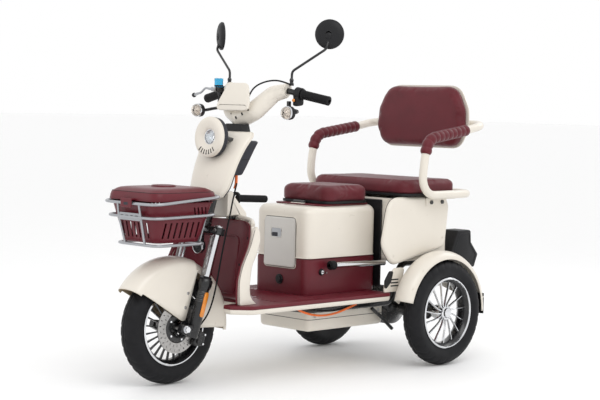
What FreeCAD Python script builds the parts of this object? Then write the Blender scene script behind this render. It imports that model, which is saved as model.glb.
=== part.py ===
import FreeCAD, Part
import math
import os

# Adult electric tricycle: one steered front wheel, two rear wheels, a front saddle
# and a rear bench with a tubular arm frame.
# +Z is up, the tricycle faces -Y, and its left side is +X.  Sub-parts are drawn from
# the front axle's ground point and shifted by front_axle_y, so that the origin is on
# the ground under the middle of the whole vehicle.  All lengths are millimetres.

os.makedirs("parts", exist_ok=True)

doc = FreeCAD.newDocument("AdultTricycle")
V = FreeCAD.Vector
Rotation = FreeCAD.Rotation
Placement = FreeCAD.Placement
UP = V(0, 0, 1)
BACK = V(0, 1, 0)
LEFT = V(1, 0, 0)

DRIVING_DIMENSIONS = {
    # running gear
    "front_axle_y": -606.67, "wheelbase": 1119, "half_track": 320,
    "tyre_radius": 205, "tyre_half_width": 40, "tyre_bead_radius": 137,
    "rim_radius": 135, "rim_half_width": 33, "rim_well_radius": 122, "hub_radius": 30,
    "disc_radius": 91, "disc_thickness": 4, "disc_x": 50,
    "front_axle_radius": 7, "rear_axle_radius": 12, "bearing_clearance": 0.05,
    # steering head and fork
    "rake_deg": 17, "steer_y": 160, "steer_z": 560, "steerer_radius": 15,
    "head_tube_radius": 26, "leg_spacing": 80, "stanchion_radius": 14,
    "slider_radius": 21,
    # body
    "floor_half_width": 250, "floor_top": 290, "floor_rear": 905,
    "box_half_width": 140, "box_front": 545, "box_rear": 930, "box_split": 427,
    "front_seat_base": 629, "rear_seat_base": 658,
    # tubes
    "arm_tube_radius": 16, "arm_half_width": 303, "sleeve_radius": 23,
    "bar_radius": 11, "basket_wire_radius": 5.5,
    "handlebar_radius": 11, "grip_radius": 17,
    "mirror_radius": 54, "mirror_stem_radius": 4.5,
}

sheet = doc.addObject("Spreadsheet::Sheet", "Sizes")
for row, (alias, value) in enumerate(DRIVING_DIMENSIONS.items(), start=1):
    sheet.set(f"A{row}", alias)
    sheet.set(f"B{row}", str(value))
    sheet.setAlias(f"B{row}", alias)
doc.recompute()


def size(alias):
    """The sheet's value for an alias, as a plain number."""
    return float(sheet.get(alias))


sub_parts = []


def bind(obj, **expressions):
    """Tie properties of an object to sheet cells: bind(cyl, Radius='tyre_radius')."""
    for prop, expression in expressions.items():
        if isinstance(expression, (int, float)):
            setattr(obj, prop, expression)
        else:
            words = expression.split()
            bound = " ".join("Sizes." + w if w in DRIVING_DIMENSIONS else w for w in words)
            obj.setExpression(prop, bound)


def publish(obj, node):
    """Name a finished sub-part and shift it from the front axle to the part's origin."""
    obj.Label = node
    local_y = obj.Placement.Base.y
    obj.setExpression("Placement.Base.y", f"Sizes.front_axle_y + {local_y}")
    sub_parts.append(obj)
    return obj


def turn_to(direction):
    """Rotation that takes +Z to the given direction."""
    return Rotation(UP, V(*direction))


def box(name, length, width, height, corner, rotation=None):
    """Part box with its low corner at a point; sizes are numbers or sheet expressions."""
    obj = doc.addObject("Part::Box", name)
    bind(obj, Length=length, Width=width, Height=height)
    obj.Placement = Placement(V(*corner), rotation or Rotation())
    return obj


def cylinder(name, radius, height, base, direction=(0, 0, 1)):
    """Part cylinder that starts at base and runs along direction."""
    obj = doc.addObject("Part::Cylinder", name)
    bind(obj, Radius=radius, Height=height)
    obj.Placement = Placement(V(*base), turn_to(direction))
    return obj


def fuse(name, *pieces):
    """Union of several objects."""
    obj = doc.addObject("Part::MultiFuse", name)
    obj.Shapes = list(pieces)
    return obj


def cut(name, base, *tools):
    """Base less one tool, or less the union of several."""
    obj = doc.addObject("Part::Cut", name)
    obj.Base = base
    obj.Tool = tools[0] if len(tools) == 1 else fuse(name + "_tools", *tools)
    return obj


def group(name, *pieces):
    """Several separate solids kept as one compound."""
    obj = doc.addObject("Part::Compound", name)
    obj.Links = list(pieces)
    return obj


def rounded(name, base, radius, choose):
    """Fillet of the edges of an object that the chooser accepts."""
    doc.recompute()
    obj = doc.addObject("Part::Fillet", name)
    obj.Base = base
    edges = [(i, radius, radius) for i, e in enumerate(base.Shape.Edges, 1) if choose(e)]
    obj.Edges = edges
    return obj


def feature(name, shape):
    """Sub-part whose shape is computed from the sheet's sizes."""
    obj = doc.addObject("Part::Feature", name)
    obj.Shape = shape
    obj.Placement = Placement()
    return obj


def outline_edges(points, closed=True):
    """Lines and tangent arcs through 2-D corner points (u, v, radius)."""
    count = len(points)
    corners = []
    for i, (u, v, radius) in enumerate(points):
        here = V(u, v, 0)
        if radius <= 0 or (not closed and i in (0, count - 1)):
            corners.append((here, None, here))
            continue
        before = V(points[i - 1][0], points[i - 1][1], 0) - here
        after = V(points[(i + 1) % count][0], points[(i + 1) % count][1], 0) - here
        before.normalize()
        after.normalize()
        half = before.getAngle(after) / 2
        reach = radius / math.tan(half)
        bisector = (before + after).normalize()
        middle = here + bisector * (radius / math.sin(half) - radius)
        corners.append((here + before * reach, middle, here + after * reach))
    edges = []
    spans = count if closed else count - 1
    for i in range(count):
        start, middle, end = corners[i]
        if middle is not None:
            edges.append(Part.Arc(start, middle, end))
        if i < spans:
            nxt = corners[(i + 1) % count][0]
            if end.distanceToPoint(nxt) > 0.01:
                edges.append(Part.LineSegment(end, nxt))
    return edges


PLANES = {"XY": "XY_Plane", "XZ": "XZ_Plane", "YZ": "YZ_Plane"}


def sketch_on(body, name, plane, points, closed=True):
    """Sketch of lines and arcs on one of the body's own origin planes."""
    sketch = body.newObject("Sketcher::SketchObject", name)
    origin = next(o for o in body.Origin.OriginFeatures if o.Role == PLANES[plane])
    sketch.AttachmentSupport = [(origin, "")]
    sketch.MapMode = "FlatFace"
    sketch.addGeometry(outline_edges(points, closed), False)
    return sketch


def padded_body(name, plane, points, length, symmetric=False, reverse=False, place=None):
    """Body with one pad of an outline; length is a number or a sheet expression."""
    body = doc.addObject("PartDesign::Body", name)
    sketch = sketch_on(body, name + "_outline", plane, points)
    pad = body.newObject("PartDesign::Pad", name + "_pad")
    pad.Profile = sketch
    bind(pad, Length=length)
    pad.Midplane = symmetric
    pad.Reversed = reverse
    sketch.Visibility = False
    if place is not None:
        body.Placement = place
    return body


def turned_body(name, points, place):
    """Body revolved about its own Z axis from an (r, z) outline in the XZ plane."""
    body = doc.addObject("PartDesign::Body", name)
    sketch = sketch_on(body, name + "_profile", "XZ", points)
    turn = body.newObject("PartDesign::Revolution", name + "_turn")
    turn.Profile = sketch
    turn.ReferenceAxis = (sketch, ["V_Axis"])
    turn.Angle = 360
    body.Placement = place
    return body


def route_wire(points, radii=None):
    """Straight runs joined by tangent arcs through 3-D points."""
    vectors = [V(*p) for p in points]
    edges = []
    start = vectors[0]
    for i in range(1, len(vectors) - 1):
        here = vectors[i]
        before = (vectors[i - 1] - here)
        after = (vectors[i + 1] - here)
        shorter = min(before.Length, after.Length)
        before.normalize()
        after.normalize()
        half = before.getAngle(after) / 2
        if math.pi / 2 - half < 0.002:
            continue
        largest = 0.45 * shorter * math.tan(half)
        radius = min(radii[i], largest) if radii else largest
        reach = radius / math.tan(half)
        bisector = (before + after).normalize()
        middle = here + bisector * (radius / math.sin(half) - radius)
        arc_start = here + before * reach
        arc_end = here + after * reach
        if start.distanceToPoint(arc_start) > 0.01:
            edges.append(Part.LineSegment(start, arc_start).toShape())
        edges.append(Part.Arc(arc_start, middle, arc_end).toShape())
        start = arc_end
    edges.append(Part.LineSegment(start, vectors[-1]).toShape())
    return Part.Wire(edges)


def tube_shape(points, radius, bend=None, inner=0.0):
    """Round tube along a route, with bends of one radius or as large as they fit."""
    radii = [bend] * len(points) if bend else None
    wire = route_wire(points, radii)
    start = V(*points[0])
    direction = (V(*points[1]) - start).normalize()
    section = Part.Wire([Part.Circle(start, direction, radius).toShape()])
    solid = wire.makePipeShell([section], True, False)
    if inner > 0:
        bore = Part.Wire([Part.Circle(start, direction, inner).toShape()])
        solid = solid.cut(wire.makePipeShell([bore], True, False))
    return solid


def mirrored(shape):
    """The same shape on the other side of the vehicle."""
    return shape.mirror(V(0, 0, 0), V(1, 0, 0))


# ---------------------------------------------------------------- steering frame
# The fork, handlebar and basket are drawn along the raked steering axis: z runs up
# the axis from the crown, y runs back from it, x runs to the left.
rake = Rotation(LEFT, -size("rake_deg"))
crown_point = V(0, size("steer_y"), size("steer_z"))
axis_up = tuple(rake.multVec(UP))
WHEEL_HEIGHT = size("tyre_radius")
to_axle = rake.inverted().multVec(V(0, 0, WHEEL_HEIGHT) - crown_point)
AXLE_DY, AXLE_DZ = to_axle.y, to_axle.z


def on_axis(x, y, z):
    """World point (from the front axle) of a point in the steering frame."""
    return tuple(crown_point + rake.multVec(V(x, y, z)))


def raked(x=0, y=0, z=0):
    """Placement of a piece drawn upright in the steering frame."""
    return Placement(V(*on_axis(x, y, z)), rake)


def raked_cylinder(name, radius, height, x, y, z):
    """Cylinder that runs up the steering direction from a point."""
    return cylinder(name, radius, height, on_axis(x, y, z), axis_up)


# ---------------------------------------------------------------- wheels
def tyre_profile():
    """Half outline of a 3.00-10 tyre: (radius, across) corners with their roundings."""
    outer = size("tyre_radius")
    half = size("tyre_half_width")
    bead = size("tyre_bead_radius")
    return [
        (bead, -31, 0), (bead + 12, -36, 8), (bead + 34, -half, 22), (outer - 16, -34, 14),
        (outer, -14, 40), (outer, 14, 40), (outer - 16, 34, 14), (bead + 34, half, 22),
        (bead + 12, 36, 8), (bead, 31, 0),
    ]


def wheel_place(x, y):
    """A wheel turns about the vehicle's X axis."""
    return Placement(V(x, y, WHEEL_HEIGHT), Rotation(UP, LEFT))


SPOKE_COUNT = 15
SPOKE_ROOT, SPOKE_WIDTH, SPOKE_DEPTH = 18, 7, 14


def make_rim(name, x, y, bore, hub_half, stub=0):
    """Cast wheel: lipped barrel, thin spokes and a hub with an axle hole."""
    half = size("rim_half_width")
    outer = size("rim_radius")
    well = size("rim_well_radius")
    barrel = turned_body(name + "_barrel", [
        (well - 4, -half, 0), (outer, -half, 0), (outer + 1.5, -half + 4, 0), (well, -16, 0),
        (well, 16, 0), (outer + 1.5, half - 4, 0), (outer, half, 0), (well - 4, half, 0),
    ], Placement())
    hub = cylinder(name + "_hub", "hub_radius", 2 * hub_half, (0, 0, -hub_half))
    pieces = [barrel, hub]
    for i in range(SPOKE_COUNT):
        spoke = box(f"{name}_spoke{i}", well - SPOKE_ROOT - 2, SPOKE_WIDTH, SPOKE_DEPTH,
                    (SPOKE_ROOT, -SPOKE_WIDTH / 2, -SPOKE_DEPTH / 2))
        spoke.Placement = Placement(V(), Rotation(UP, i * 360 / SPOKE_COUNT)).multiply(
            spoke.Placement)
        pieces.append(spoke)
    solid = fuse(name + "_solid", *pieces)
    if bore:
        hole = cylinder(name + "_bore", f"{bore} + bearing_clearance", 200, (0, 0, -100))
        solid = cut(name + "_cast", solid, hole)
    if stub:
        reach = abs(stub)
        start = -hub_half - reach if stub < 0 else hub_half
        shaft = cylinder(name + "_shaft", "rear_axle_radius", reach + 4,
                         (0, 0, start if stub < 0 else start - 4))
        solid = fuse(name + "_on_shaft", solid, shaft)
    solid.Placement = wheel_place(x, y)
    return solid


def make_tyre(name, x, y):
    """Tyre as one revolved rubber ring."""
    body = turned_body(name, tyre_profile(), wheel_place(x, y))
    return body


HUB_HALF, SHAFT_REACH = 34, 170
wheel_y = size("wheelbase")
track_x = size("half_track")
publish(make_tyre("front_tyre_body", 0, 0), "front_tyre")
publish(make_rim("front_rim_body", 0, 0, "front_axle_radius", HUB_HALF), "front_rim")
publish(make_tyre("rear_tyre_left_body", track_x, wheel_y), "rear_tyre_left")
publish(make_tyre("rear_tyre_right_body", -track_x, wheel_y), "rear_tyre_right")
publish(make_rim("rear_rim_left_body", track_x, wheel_y, None, HUB_HALF, -SHAFT_REACH),
        "rear_rim_left")
publish(make_rim("rear_rim_right_body", -track_x, wheel_y, None, HUB_HALF, SHAFT_REACH),
        "rear_rim_right")

DRILLING_COUNT, DRILLING_RADIUS, DRILLING_CIRCLE = 18, 2.5, 77
disc_plate = cylinder("disc_plate", "disc_radius", "disc_thickness", (0, 0, 0))
disc_hole = cylinder("disc_hole", "hub_radius", 20, (0, 0, -10))
disc_drillings = [
    cylinder(f"disc_drilling{i}", DRILLING_RADIUS, 20,
             (DRILLING_CIRCLE * math.cos(2 * math.pi * i / DRILLING_COUNT),
              DRILLING_CIRCLE * math.sin(2 * math.pi * i / DRILLING_COUNT), -10))
    for i in range(DRILLING_COUNT)
]
disc_ring = cut("disc_ring", disc_plate, disc_hole, *disc_drillings)
disc_carrier = cylinder("disc_carrier", 52, 11, (0, 0, -11.5))
carrier_hole = cylinder("carrier_hole", "hub_radius + 0.3", 30, (0, 0, -20))
brake_disc = fuse("brake_disc", disc_ring, cut("carrier_ring", disc_carrier, carrier_hole))
brake_disc.Placement = Placement(V(size("disc_x") - 2, 0, WHEEL_HEIGHT), Rotation(UP, LEFT))
publish(brake_disc, "front_brake_disc")

# ---------------------------------------------------------------- fork
leg_x = size("leg_spacing")
SLIDER_TOP, SLIDER_BOTTOM = -194, -408
STANCHION_FOOT = -330
STANCHION_TOP = -30.5

sliders = []
for side in (1, -1):
    tag = "left" if side > 0 else "right"
    slider = raked_cylinder(f"slider_{tag}", "slider_radius", SLIDER_TOP - SLIDER_BOTTOM,
                            side * leg_x, 0, SLIDER_BOTTOM)
    collar = raked_cylinder(f"slider_collar_{tag}", "slider_radius + 4", 22,
                            side * leg_x, 0, SLIDER_TOP - 22)
    lug = box(f"axle_lug_{tag}", 26, 52, 34, (-13, -42, -17))
    lug.Placement = Placement(V(*on_axis(side * (leg_x - 4), AXLE_DY + 22, AXLE_DZ)),
                              rake).multiply(lug.Placement)
    bore = raked_cylinder(f"slider_bore_{tag}", "stanchion_radius + bearing_clearance", 400,
                          side * leg_x, 0, STANCHION_FOOT - 50)
    sliders.append(cut(f"slider_bored_{tag}", fuse(f"slider_with_lug_{tag}", slider, collar, lug),
                       bore))
front_axle = cylinder("front_axle_pin", "front_axle_radius", 2 * leg_x + 34,
                      (-leg_x - 17, 0, WHEEL_HEIGHT), (1, 0, 0))
publish(fuse("fork_sliders_solid", *sliders, front_axle), "fork_sliders")

stanchion_pair = [
    raked_cylinder(f"stanchion_{i}", "stanchion_radius", STANCHION_TOP - STANCHION_FOOT,
                   side * leg_x, 0, STANCHION_FOOT)
    for i, side in enumerate((1, -1))
]
publish(group("stanchions_pair", *stanchion_pair), "stanchions")

CROWN_LOW, CROWN_HIGH = -30, -4
crown_plate = padded_body("crown_plate", "XY", [
    (-104, -20, 18), (-40, -24, 10), (40, -24, 10), (104, -20, 18),
    (104, 20, 18), (30, 26, 10), (-30, 26, 10), (-104, 20, 18),
], CROWN_HIGH - CROWN_LOW, place=raked(0, 0, CROWN_LOW))
STEERER_TOP = 186
steerer = raked_cylinder("steerer", "steerer_radius", STEERER_TOP - CROWN_LOW, 0, 0, CROWN_LOW)
horn_arm = box("horn_arm", 12, 12, 24, (24, 118, 510))
horn_can = cylinder("horn_can", 27, 24, (30, 126, 491), (0, -1, 0))
publish(group("fork_crown_group", fuse("fork_crown_solid", crown_plate, steerer),
              fuse("horn_solid", horn_arm, horn_can)), "fork_crown")

# caliper over the lower rear edge of the disc, bolted to the left slider
caliper_block = box("caliper_block", 34, 50, 62, (0, 0, 0))
caliper_slot = box("caliper_slot", 8, 60, 80, (10, -16, -9))
caliper = cut("caliper_solid", caliper_block, caliper_slot)
caliper.Placement = Placement(V(*on_axis(36, 22.5, -432)), rake)
publish(caliper, "brake_caliper")


# ---------------------------------------------------------------- mudguards
def guard_shell(radius, half_width, thickness, crown):
    """Hollow drum about a wheel's axis: side walls joined by a crowned band."""
    def drum(grow):
        side = half_width + grow
        edge = radius + grow - crown
        points = [V(-side, 0, 10), V(-side, 0, edge), V(0, 0, radius + grow),
                  V(side, 0, edge), V(side, 0, 10)]
        edges = [Part.LineSegment(points[0], points[1]).toShape(),
                 Part.Arc(points[1], points[2], points[3]).toShape(),
                 Part.LineSegment(points[3], points[4]).toShape(),
                 Part.LineSegment(points[4], points[0]).toShape()]
        return Part.Face(Part.Wire(edges)).revolve(V(), LEFT, 360)
    return drum(0).cut(drum(-thickness))


def side_prism(points, low_x, high_x):
    """Prism across the vehicle from a (y, z) outline."""
    corners = [V(low_x, y, z) for y, z in points]
    return Part.Face(Part.makePolygon(corners + corners[:1])).extrude(V(high_x - low_x, 0, 0))


FRONT_GUARD_SIDE = [(-206, 150), (-122, 108), (0, 32), (60, 0), (232, -4), (300, 40),
                    (300, 300), (-300, 300), (-300, 190)]
FRONT_GUARD_RADIUS, FRONT_GUARD_HALF, GUARD_SHEET, GUARD_CROWN = 250, 57, 2.5, 34
front_guard = guard_shell(FRONT_GUARD_RADIUS, FRONT_GUARD_HALF, GUARD_SHEET,
                          GUARD_CROWN).common(side_prism(FRONT_GUARD_SIDE, -80, 80))
front_guard.translate(V(0, 0, WHEEL_HEIGHT))
leg_gaps = []
for side in (1, -1):
    strip = Part.makeBox(60, 62, 420, V(side * 79 - 30, -31, -400))
    strip.Placement = raked().multiply(strip.Placement)
    leg_gaps.append(strip)
caliper_gap = Part.makeBox(40, 80, 80, V(34, 50, 118))
front_guard = front_guard.cut(leg_gaps[0]).cut(leg_gaps[1]).cut(caliper_gap)
publish(feature("front_fender_shape", front_guard), "front_fender")


# ---------------------------------------------------------------- handlebar
BAR_ROUTE = [(0, 330, 945), (70, 352, 990), (112, 388, 1040), (150, 415, 1053),
             (322, 454.2, 1019.6)]
bar_from, bar_to = V(*BAR_ROUTE[3]), V(*BAR_ROUTE[4])
bar_along = (bar_to - bar_from).normalize()


def on_bar(x, side=1):
    """Point of the handlebar's straight end at a distance x from the middle."""
    point = bar_from + bar_along * ((x - bar_from.x) / bar_along.x)
    return V(side * point.x, point.y, point.z)


def bar_direction(side):
    """Outward direction of one end of the handlebar."""
    return V(side * bar_along.x, bar_along.y, bar_along.z)


def both(shape):
    """A shape together with its mirror image."""
    return shape.fuse(mirrored(shape)).removeSplitter()


bar_radius = size("handlebar_radius")
half_bar = tube_shape([(0, 330, 945)] + BAR_ROUTE[1:], bar_radius, 45)
stem_foot = V(*on_axis(0, 0, STEERER_TOP + 3.5))
stem_head = V(0, 330, 945)
stem_direction = stem_head - stem_foot
stem = Part.makeCylinder(16, stem_direction.Length, stem_foot, stem_direction)
publish(feature("handlebar_shape", both(half_bar).fuse(stem)), "handlebar")

COVER_RADIUS = 36
COVER_ROUTE = [(0, 330, 945), (60, 344, 978), (112, 388, 1040), (148, 414.4, 1052)]
cover_skin = tube_shape(COVER_ROUTE, COVER_RADIUS, 60)
cover_core = tube_shape([(-1, 330, 945), *COVER_ROUTE[1:3], (158, 416.9, 1050.1)],
                        COVER_RADIUS - 4, 60)
stem_hole = Part.makeCylinder(24, 70, stem_head - stem_direction.normalize() * 70,
                              stem_direction)
cover = both(cover_skin.cut(cover_core).cut(stem_hole))
publish(feature("handlebar_cover_shape", cover), "handlebar_cover")

dash_tilt = Rotation(LEFT, -17.9)
dash_plate = padded_body("dash_plate", "XZ", [
    (-97, 0, 26), (97, 0, 26), (53, 106, 34), (-53, 106, 34),
], 8, place=Placement(V(0, 284, 977), dash_tilt))
publish(dash_plate, "dash_cover")

grip_radius = size("grip_radius")
GRIP_INNER_X = 218


def sleeve_on_bar(radius, x_inner, x_outer, side):
    """Ring around the handlebar between two distances from the middle."""
    start, end = on_bar(x_inner, side), on_bar(x_outer, side)
    length = (end - start).Length
    ring = Part.makeCylinder(radius, length, start, end - start)
    bore = Part.makeCylinder(bar_radius + size("bearing_clearance"), length + 2,
                             start - bar_direction(side), end - start)
    return ring.cut(bore)


def grip_shape(side):
    """Rubber grip with an inner flange and a thicker end."""
    barrel = sleeve_on_bar(grip_radius, GRIP_INNER_X, 330, side)
    flange = sleeve_on_bar(grip_radius + 5, GRIP_INNER_X, GRIP_INNER_X + 5, side)
    end_ring = sleeve_on_bar(grip_radius + 2, 322, 330, side)
    return barrel.fuse(flange).fuse(end_ring)


publish(feature("left_grip_shape", grip_shape(1)), "left_grip")
publish(feature("throttle_grip_shape", grip_shape(-1)), "throttle_grip")

switches = []
for side in (1, -1):
    block = sleeve_on_bar(23, 192, GRIP_INNER_X - 1, side)
    pod_low = V(side * 204, on_bar(204).y - 22, on_bar(204).z - 46)
    pod = Part.makeBox(24, 40, 40, pod_low - V(12, 0, 0))
    pod = pod.cut(Part.makeCylinder(22.5, 90, on_bar(160, side), bar_direction(side)))
    switches.append(block.fuse(pod))
    if side > 0:
        switches.append(sleeve_on_bar(18, 172, 190, side))
publish(feature("switch_clusters_shape", Part.makeCompound(switches)), "switch_clusters")
button_at = on_bar(204) + V(0, -3, -46)
publish(cylinder("horn_button_pin", 6, 5, (button_at.x, button_at.y - 23.5, button_at.z + 22),
                 (0, -1, 0)), "horn_button")

# hydraulic brake on the right: reservoir, perch and lever
perch = sleeve_on_bar(18, 172, 190, -1)
perch_at = on_bar(181, -1)
perch_block = Part.makeBox(20, 52, 20, perch_at + V(-10, -58, -4))
perch_block = perch_block.cut(Part.makeCylinder(12, 90, on_bar(150, -1), bar_direction(-1)))
reservoir = Part.makeCylinder(17, 36, perch_at + V(-2, -40, 12))
publish(feature("master_cylinder_shape", perch.fuse(perch_block).fuse(reservoir)),
        "master_cylinder")
lever_pivot = perch_at + V(0, -68.5, 7)
lever_points = [lever_pivot, V(-250, 352, 1040), V(-305, 366, 1030)]
LEVER_HALF_WIDTH, LEVER_THICKNESS = 5, 9
lever_line = (lever_points[2] - lever_points[0]).normalize()
lever_normal = lever_line.cross(lever_points[1] - lever_points[0]).normalize()


def lever_strip(near, far):
    """Flat run of the lever blade between two points."""
    along = (far - near).normalize()
    across = lever_normal.cross(along) * LEVER_HALF_WIDTH
    low = lever_normal * (-LEVER_THICKNESS / 2)
    corners = [near - across + low, far + along * LEVER_HALF_WIDTH - across + low,
               far + along * LEVER_HALF_WIDTH + across + low, near + across + low]
    face = Part.Face(Part.makePolygon(corners + corners[:1]))
    return face.extrude(lever_normal * LEVER_THICKNESS)


lever = lever_strip(lever_points[0], lever_points[1]).fuse(
    lever_strip(lever_points[1], lever_points[2]))
lever_boss = Part.makeCylinder(9, 16, lever_pivot - V(0, 0, 8))
lever_end = Part.makeCylinder(8, 14, lever_points[2] - lever_normal * 7, lever_normal)
publish(feature("brake_lever_shape", lever.fuse(lever_boss).fuse(lever_end)), "brake_lever")

# turn signals hang under the bar on short stalks
def signal_shape(side):
    """Lamp can with a stalk that reaches up to a clamp beside the switch cluster."""
    lamp = Part.makeCylinder(25, 42, V(side * 244, 352, 973), V(0, -1, 0))
    elbow = tube_shape([(side * 244, 350, 973), (side * 238, 392, 978),
                        (side * 180, 400, 986)], 6, 25)
    bracket = Part.makeBox(12, 26, 34, V(side * 180 - 6, 392, 982))
    bracket = bracket.cut(Part.makeCylinder(18.4, 60, on_bar(150, side), bar_direction(side)))
    return lamp.fuse(elbow).fuse(bracket)


publish(feature("turn_signals_shape",
                Part.makeCompound([signal_shape(1), signal_shape(-1)])), "turn_signals")


def mirror_shape(side):
    """Round mirror bowl on a cranked stem that screws into the bar clamp."""
    stem_route = [(side * 168, 423, 1074), (side * 168, 424, 1123), (side * 296, 470, 1206),
                  (side * 294, 486, 1250)]
    stem_tube = tube_shape(stem_route, size("mirror_stem_radius"), 22)
    foot = Part.makeCylinder(9, 28, V(side * 168, 423, 1071))
    back = V(side * 0.5, -0.866, 0)
    centre = V(side * 292, 488, 1259)
    bowl = Part.makeCylinder(size("mirror_radius"), 8, centre - back * 6, back)
    dome = Part.makeCone(size("mirror_radius"), 30, 12, centre + back * 2, back)
    return stem_tube.fuse(foot).fuse(bowl).fuse(dome)


publish(feature("mirror_left_shape", mirror_shape(1)), "mirror_left")
publish(feature("mirror_right_shape", mirror_shape(-1)), "mirror_right")

# ---------------------------------------------------------------- column and headlight


def crescent(z, half_width, edge_y, middle_y, thickness):
    """Closed horizontal section of a bowed cover: an arc in front, one behind."""
    front = Part.Arc(V(-half_width, edge_y, z), V(0, middle_y, z), V(half_width, edge_y, z))
    rear = Part.Arc(V(-half_width, edge_y + thickness, z), V(0, middle_y + thickness, z),
                    V(half_width, edge_y + thickness, z))
    sides = [Part.LineSegment(V(s * half_width, edge_y, z),
                              V(s * half_width, edge_y + thickness, z)) for s in (-1, 1)]
    return Part.Wire(Part.__sortEdges__([e.toShape() for e in (front, rear, *sides)]))


SHIELD_STATIONS = [(658, 66, 170, 142), (700, 100, 188, 158), (760, 107, 208, 180),
                   (861, 117, 254, 224), (900, 110, 288, 256)]
column_shield = Part.makeLoft([crescent(*station, 4) for station in SHIELD_STATIONS], True)
publish(feature("column_shield_shape", column_shield), "column_shield")


def tray(z, half_width, front_y, rear_y):
    """Horizontal section of the rear column cover: a rectangle with blunt corners."""
    blunt = 18
    corners = [(-half_width, front_y), (half_width, front_y), (half_width, rear_y - blunt),
               (half_width - blunt, rear_y), (-half_width + blunt, rear_y),
               (-half_width, rear_y - blunt)]
    points = [V(x, y, z) for x, y in corners]
    return Part.makePolygon(points + points[:1])


REAR_STATIONS = [(742, 72, 211, 296), (800, 81, 232, 322), (868, 88, 264, 358)]
rear_cover = Part.makeLoft([tray(*s) for s in REAR_STATIONS], True, True)
WALL = 4
hollow = Part.makeLoft([tray(z - 3 + i * 6 / 2, w - WALL, f - 30, r - WALL)
                        for i, (z, w, f, r) in enumerate(REAR_STATIONS)], True, True)
publish(feature("column_rear_cover_shape", rear_cover.cut(hollow)), "column_rear_cover")

LAMP_TILT = V(0, -0.9972, 0.0750)
lamp_place = Placement(V(0, 166, 881), Rotation(UP, LAMP_TILT))
lamp_ring = turned_body("lamp_ring_body", [
    (37, -20, 0), (60, -8, 0), (74, -12, 0), (74, -3, 4), (66, 0, 5), (56, -1, 6), (38, -14, 3),
], lamp_place)
lamp_can = turned_body("lamp_can", [
    (0, -46, 0), (44, -46, 10), (72, -24, 0), (72, -13, 0), (60, -9, 0), (36, -22, 0), (0, -22, 0),
], lamp_place)
publish(group("headlight_group", lamp_ring, lamp_can), "headlight_housing")
lamp_lens = turned_body("lamp_lens", [
    (0, -21.5, 0), (34, -21.5, 0), (34, -15, 0), (20, -8, 20), (0, -6, 0),
], lamp_place)
publish(lamp_lens, "headlight_lens")

# ---------------------------------------------------------------- basket
wire = size("basket_wire_radius")
top_ring = tube_shape([(0, -192, 652), (150, -192, 652), (152, -60, 664), (150, 120, 674),
                       (0, 120, 674)], wire, 55)
middle_ring = tube_shape([(0, -183, 604), (139, -183, 604), (139, 108, 610), (0, 108, 610)],
                         wire, 50)
bottom_ring = tube_shape([(0, -158, 506), (112, -158, 506), (112, 76, 508), (0, 76, 508)],
                         wire, 45)
post_wire = wire - 1
front_post = tube_shape([(58, -191.5, 652), (60, -183.5, 604), (54, -158.5, 506)], post_wire, 60)
rear_post = tube_shape([(72, 119.5, 674), (72, 107.5, 610), (70, 76.5, 508)], post_wire, 60)
slot_plate = Part.makeBox(60, 3, 26, V(0, -186, 592))
mount_strut = tube_shape([(71, 92, 560), (66, 108, 552), (60, 122, 548)], post_wire, 30)
half_frame = top_ring
for piece in (middle_ring, bottom_ring, front_post, rear_post, slot_plate, mount_strut):
    half_frame = half_frame.fuse(piece)
publish(feature("basket_frame_shape", both(half_frame)), "basket_frame")


def rounded_rect(z, half_width, front_y, rear_y, radius):
    """Closed horizontal wire: a rectangle with round corners."""
    points = [(-half_width, front_y, radius), (half_width, front_y, radius),
              (half_width, rear_y, radius), (-half_width, rear_y, radius)]
    wire_2d = Part.Wire([e.toShape() for e in outline_edges(points)])
    wire_2d.translate(V(0, 0, z))
    return wire_2d


TUB_WALL = 3
tub_outer = Part.makeLoft([rounded_rect(514, 98, -144, 62, 34),
                           rounded_rect(654, 132, -176, 100, 46)], True)
tub_inner = Part.makeLoft([rounded_rect(514 + TUB_WALL, 98 - TUB_WALL, -144 + TUB_WALL,
                                        62 - TUB_WALL, 31),
                           rounded_rect(656, 132 - TUB_WALL, -176 + TUB_WALL,
                                        100 - TUB_WALL, 43)], True)
SLOT_LOW, SLOT_HEIGHT, SLOT_WIDTH = 530, 56, 8
slot_cutters = [Part.makeBox(300, SLOT_WIDTH, SLOT_HEIGHT, V(-150, -120 + 25 * i, SLOT_LOW))
                for i in range(7)]
slot_cutters += [Part.makeBox(SLOT_WIDTH, 60, SLOT_HEIGHT, V(-70 + 22 * i, -190, SLOT_LOW))
                 for i in range(7)]
tub = tub_outer.cut(tub_inner)
for cutter in slot_cutters:
    tub = tub.cut(cutter)
publish(feature("basket_tub_shape", tub), "basket_tub")

LID_BASE, LID_SHOULDER, LID_TOP = 661, 690, 706
lid_outer = Part.makeLoft([rounded_rect(LID_BASE, 142, -184, 111, 50),
                           rounded_rect(LID_SHOULDER, 137, -179, 106, 48),
                           rounded_rect(LID_TOP, 112, -154, 82, 40)], True)
lid_inner = Part.makeLoft([rounded_rect(LID_BASE - 1, 139, -181, 108, 47),
                           rounded_rect(LID_SHOULDER - 3, 134, -176, 103, 45),
                           rounded_rect(LID_TOP - 4, 108, -150, 78, 37)], True)
boss = Part.makeCylinder(44, 7, V(0, -34, 705))
latch = Part.makeBox(60, 24, 5, V(-30, -203, 664)).fuse(
    Part.makeBox(60, 4, 32, V(-30, -203, 637)))
lid_hinge = Part.makeCylinder(5, 120, V(-60, 122, 685), LEFT).fuse(
    Part.makeBox(120, 16, 6, V(-60, 104, 682)))
lid = lid_outer.cut(lid_inner).fuse(boss).fuse(latch).fuse(lid_hinge)
publish(feature("basket_lid_shape", lid), "basket_lid")

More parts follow.
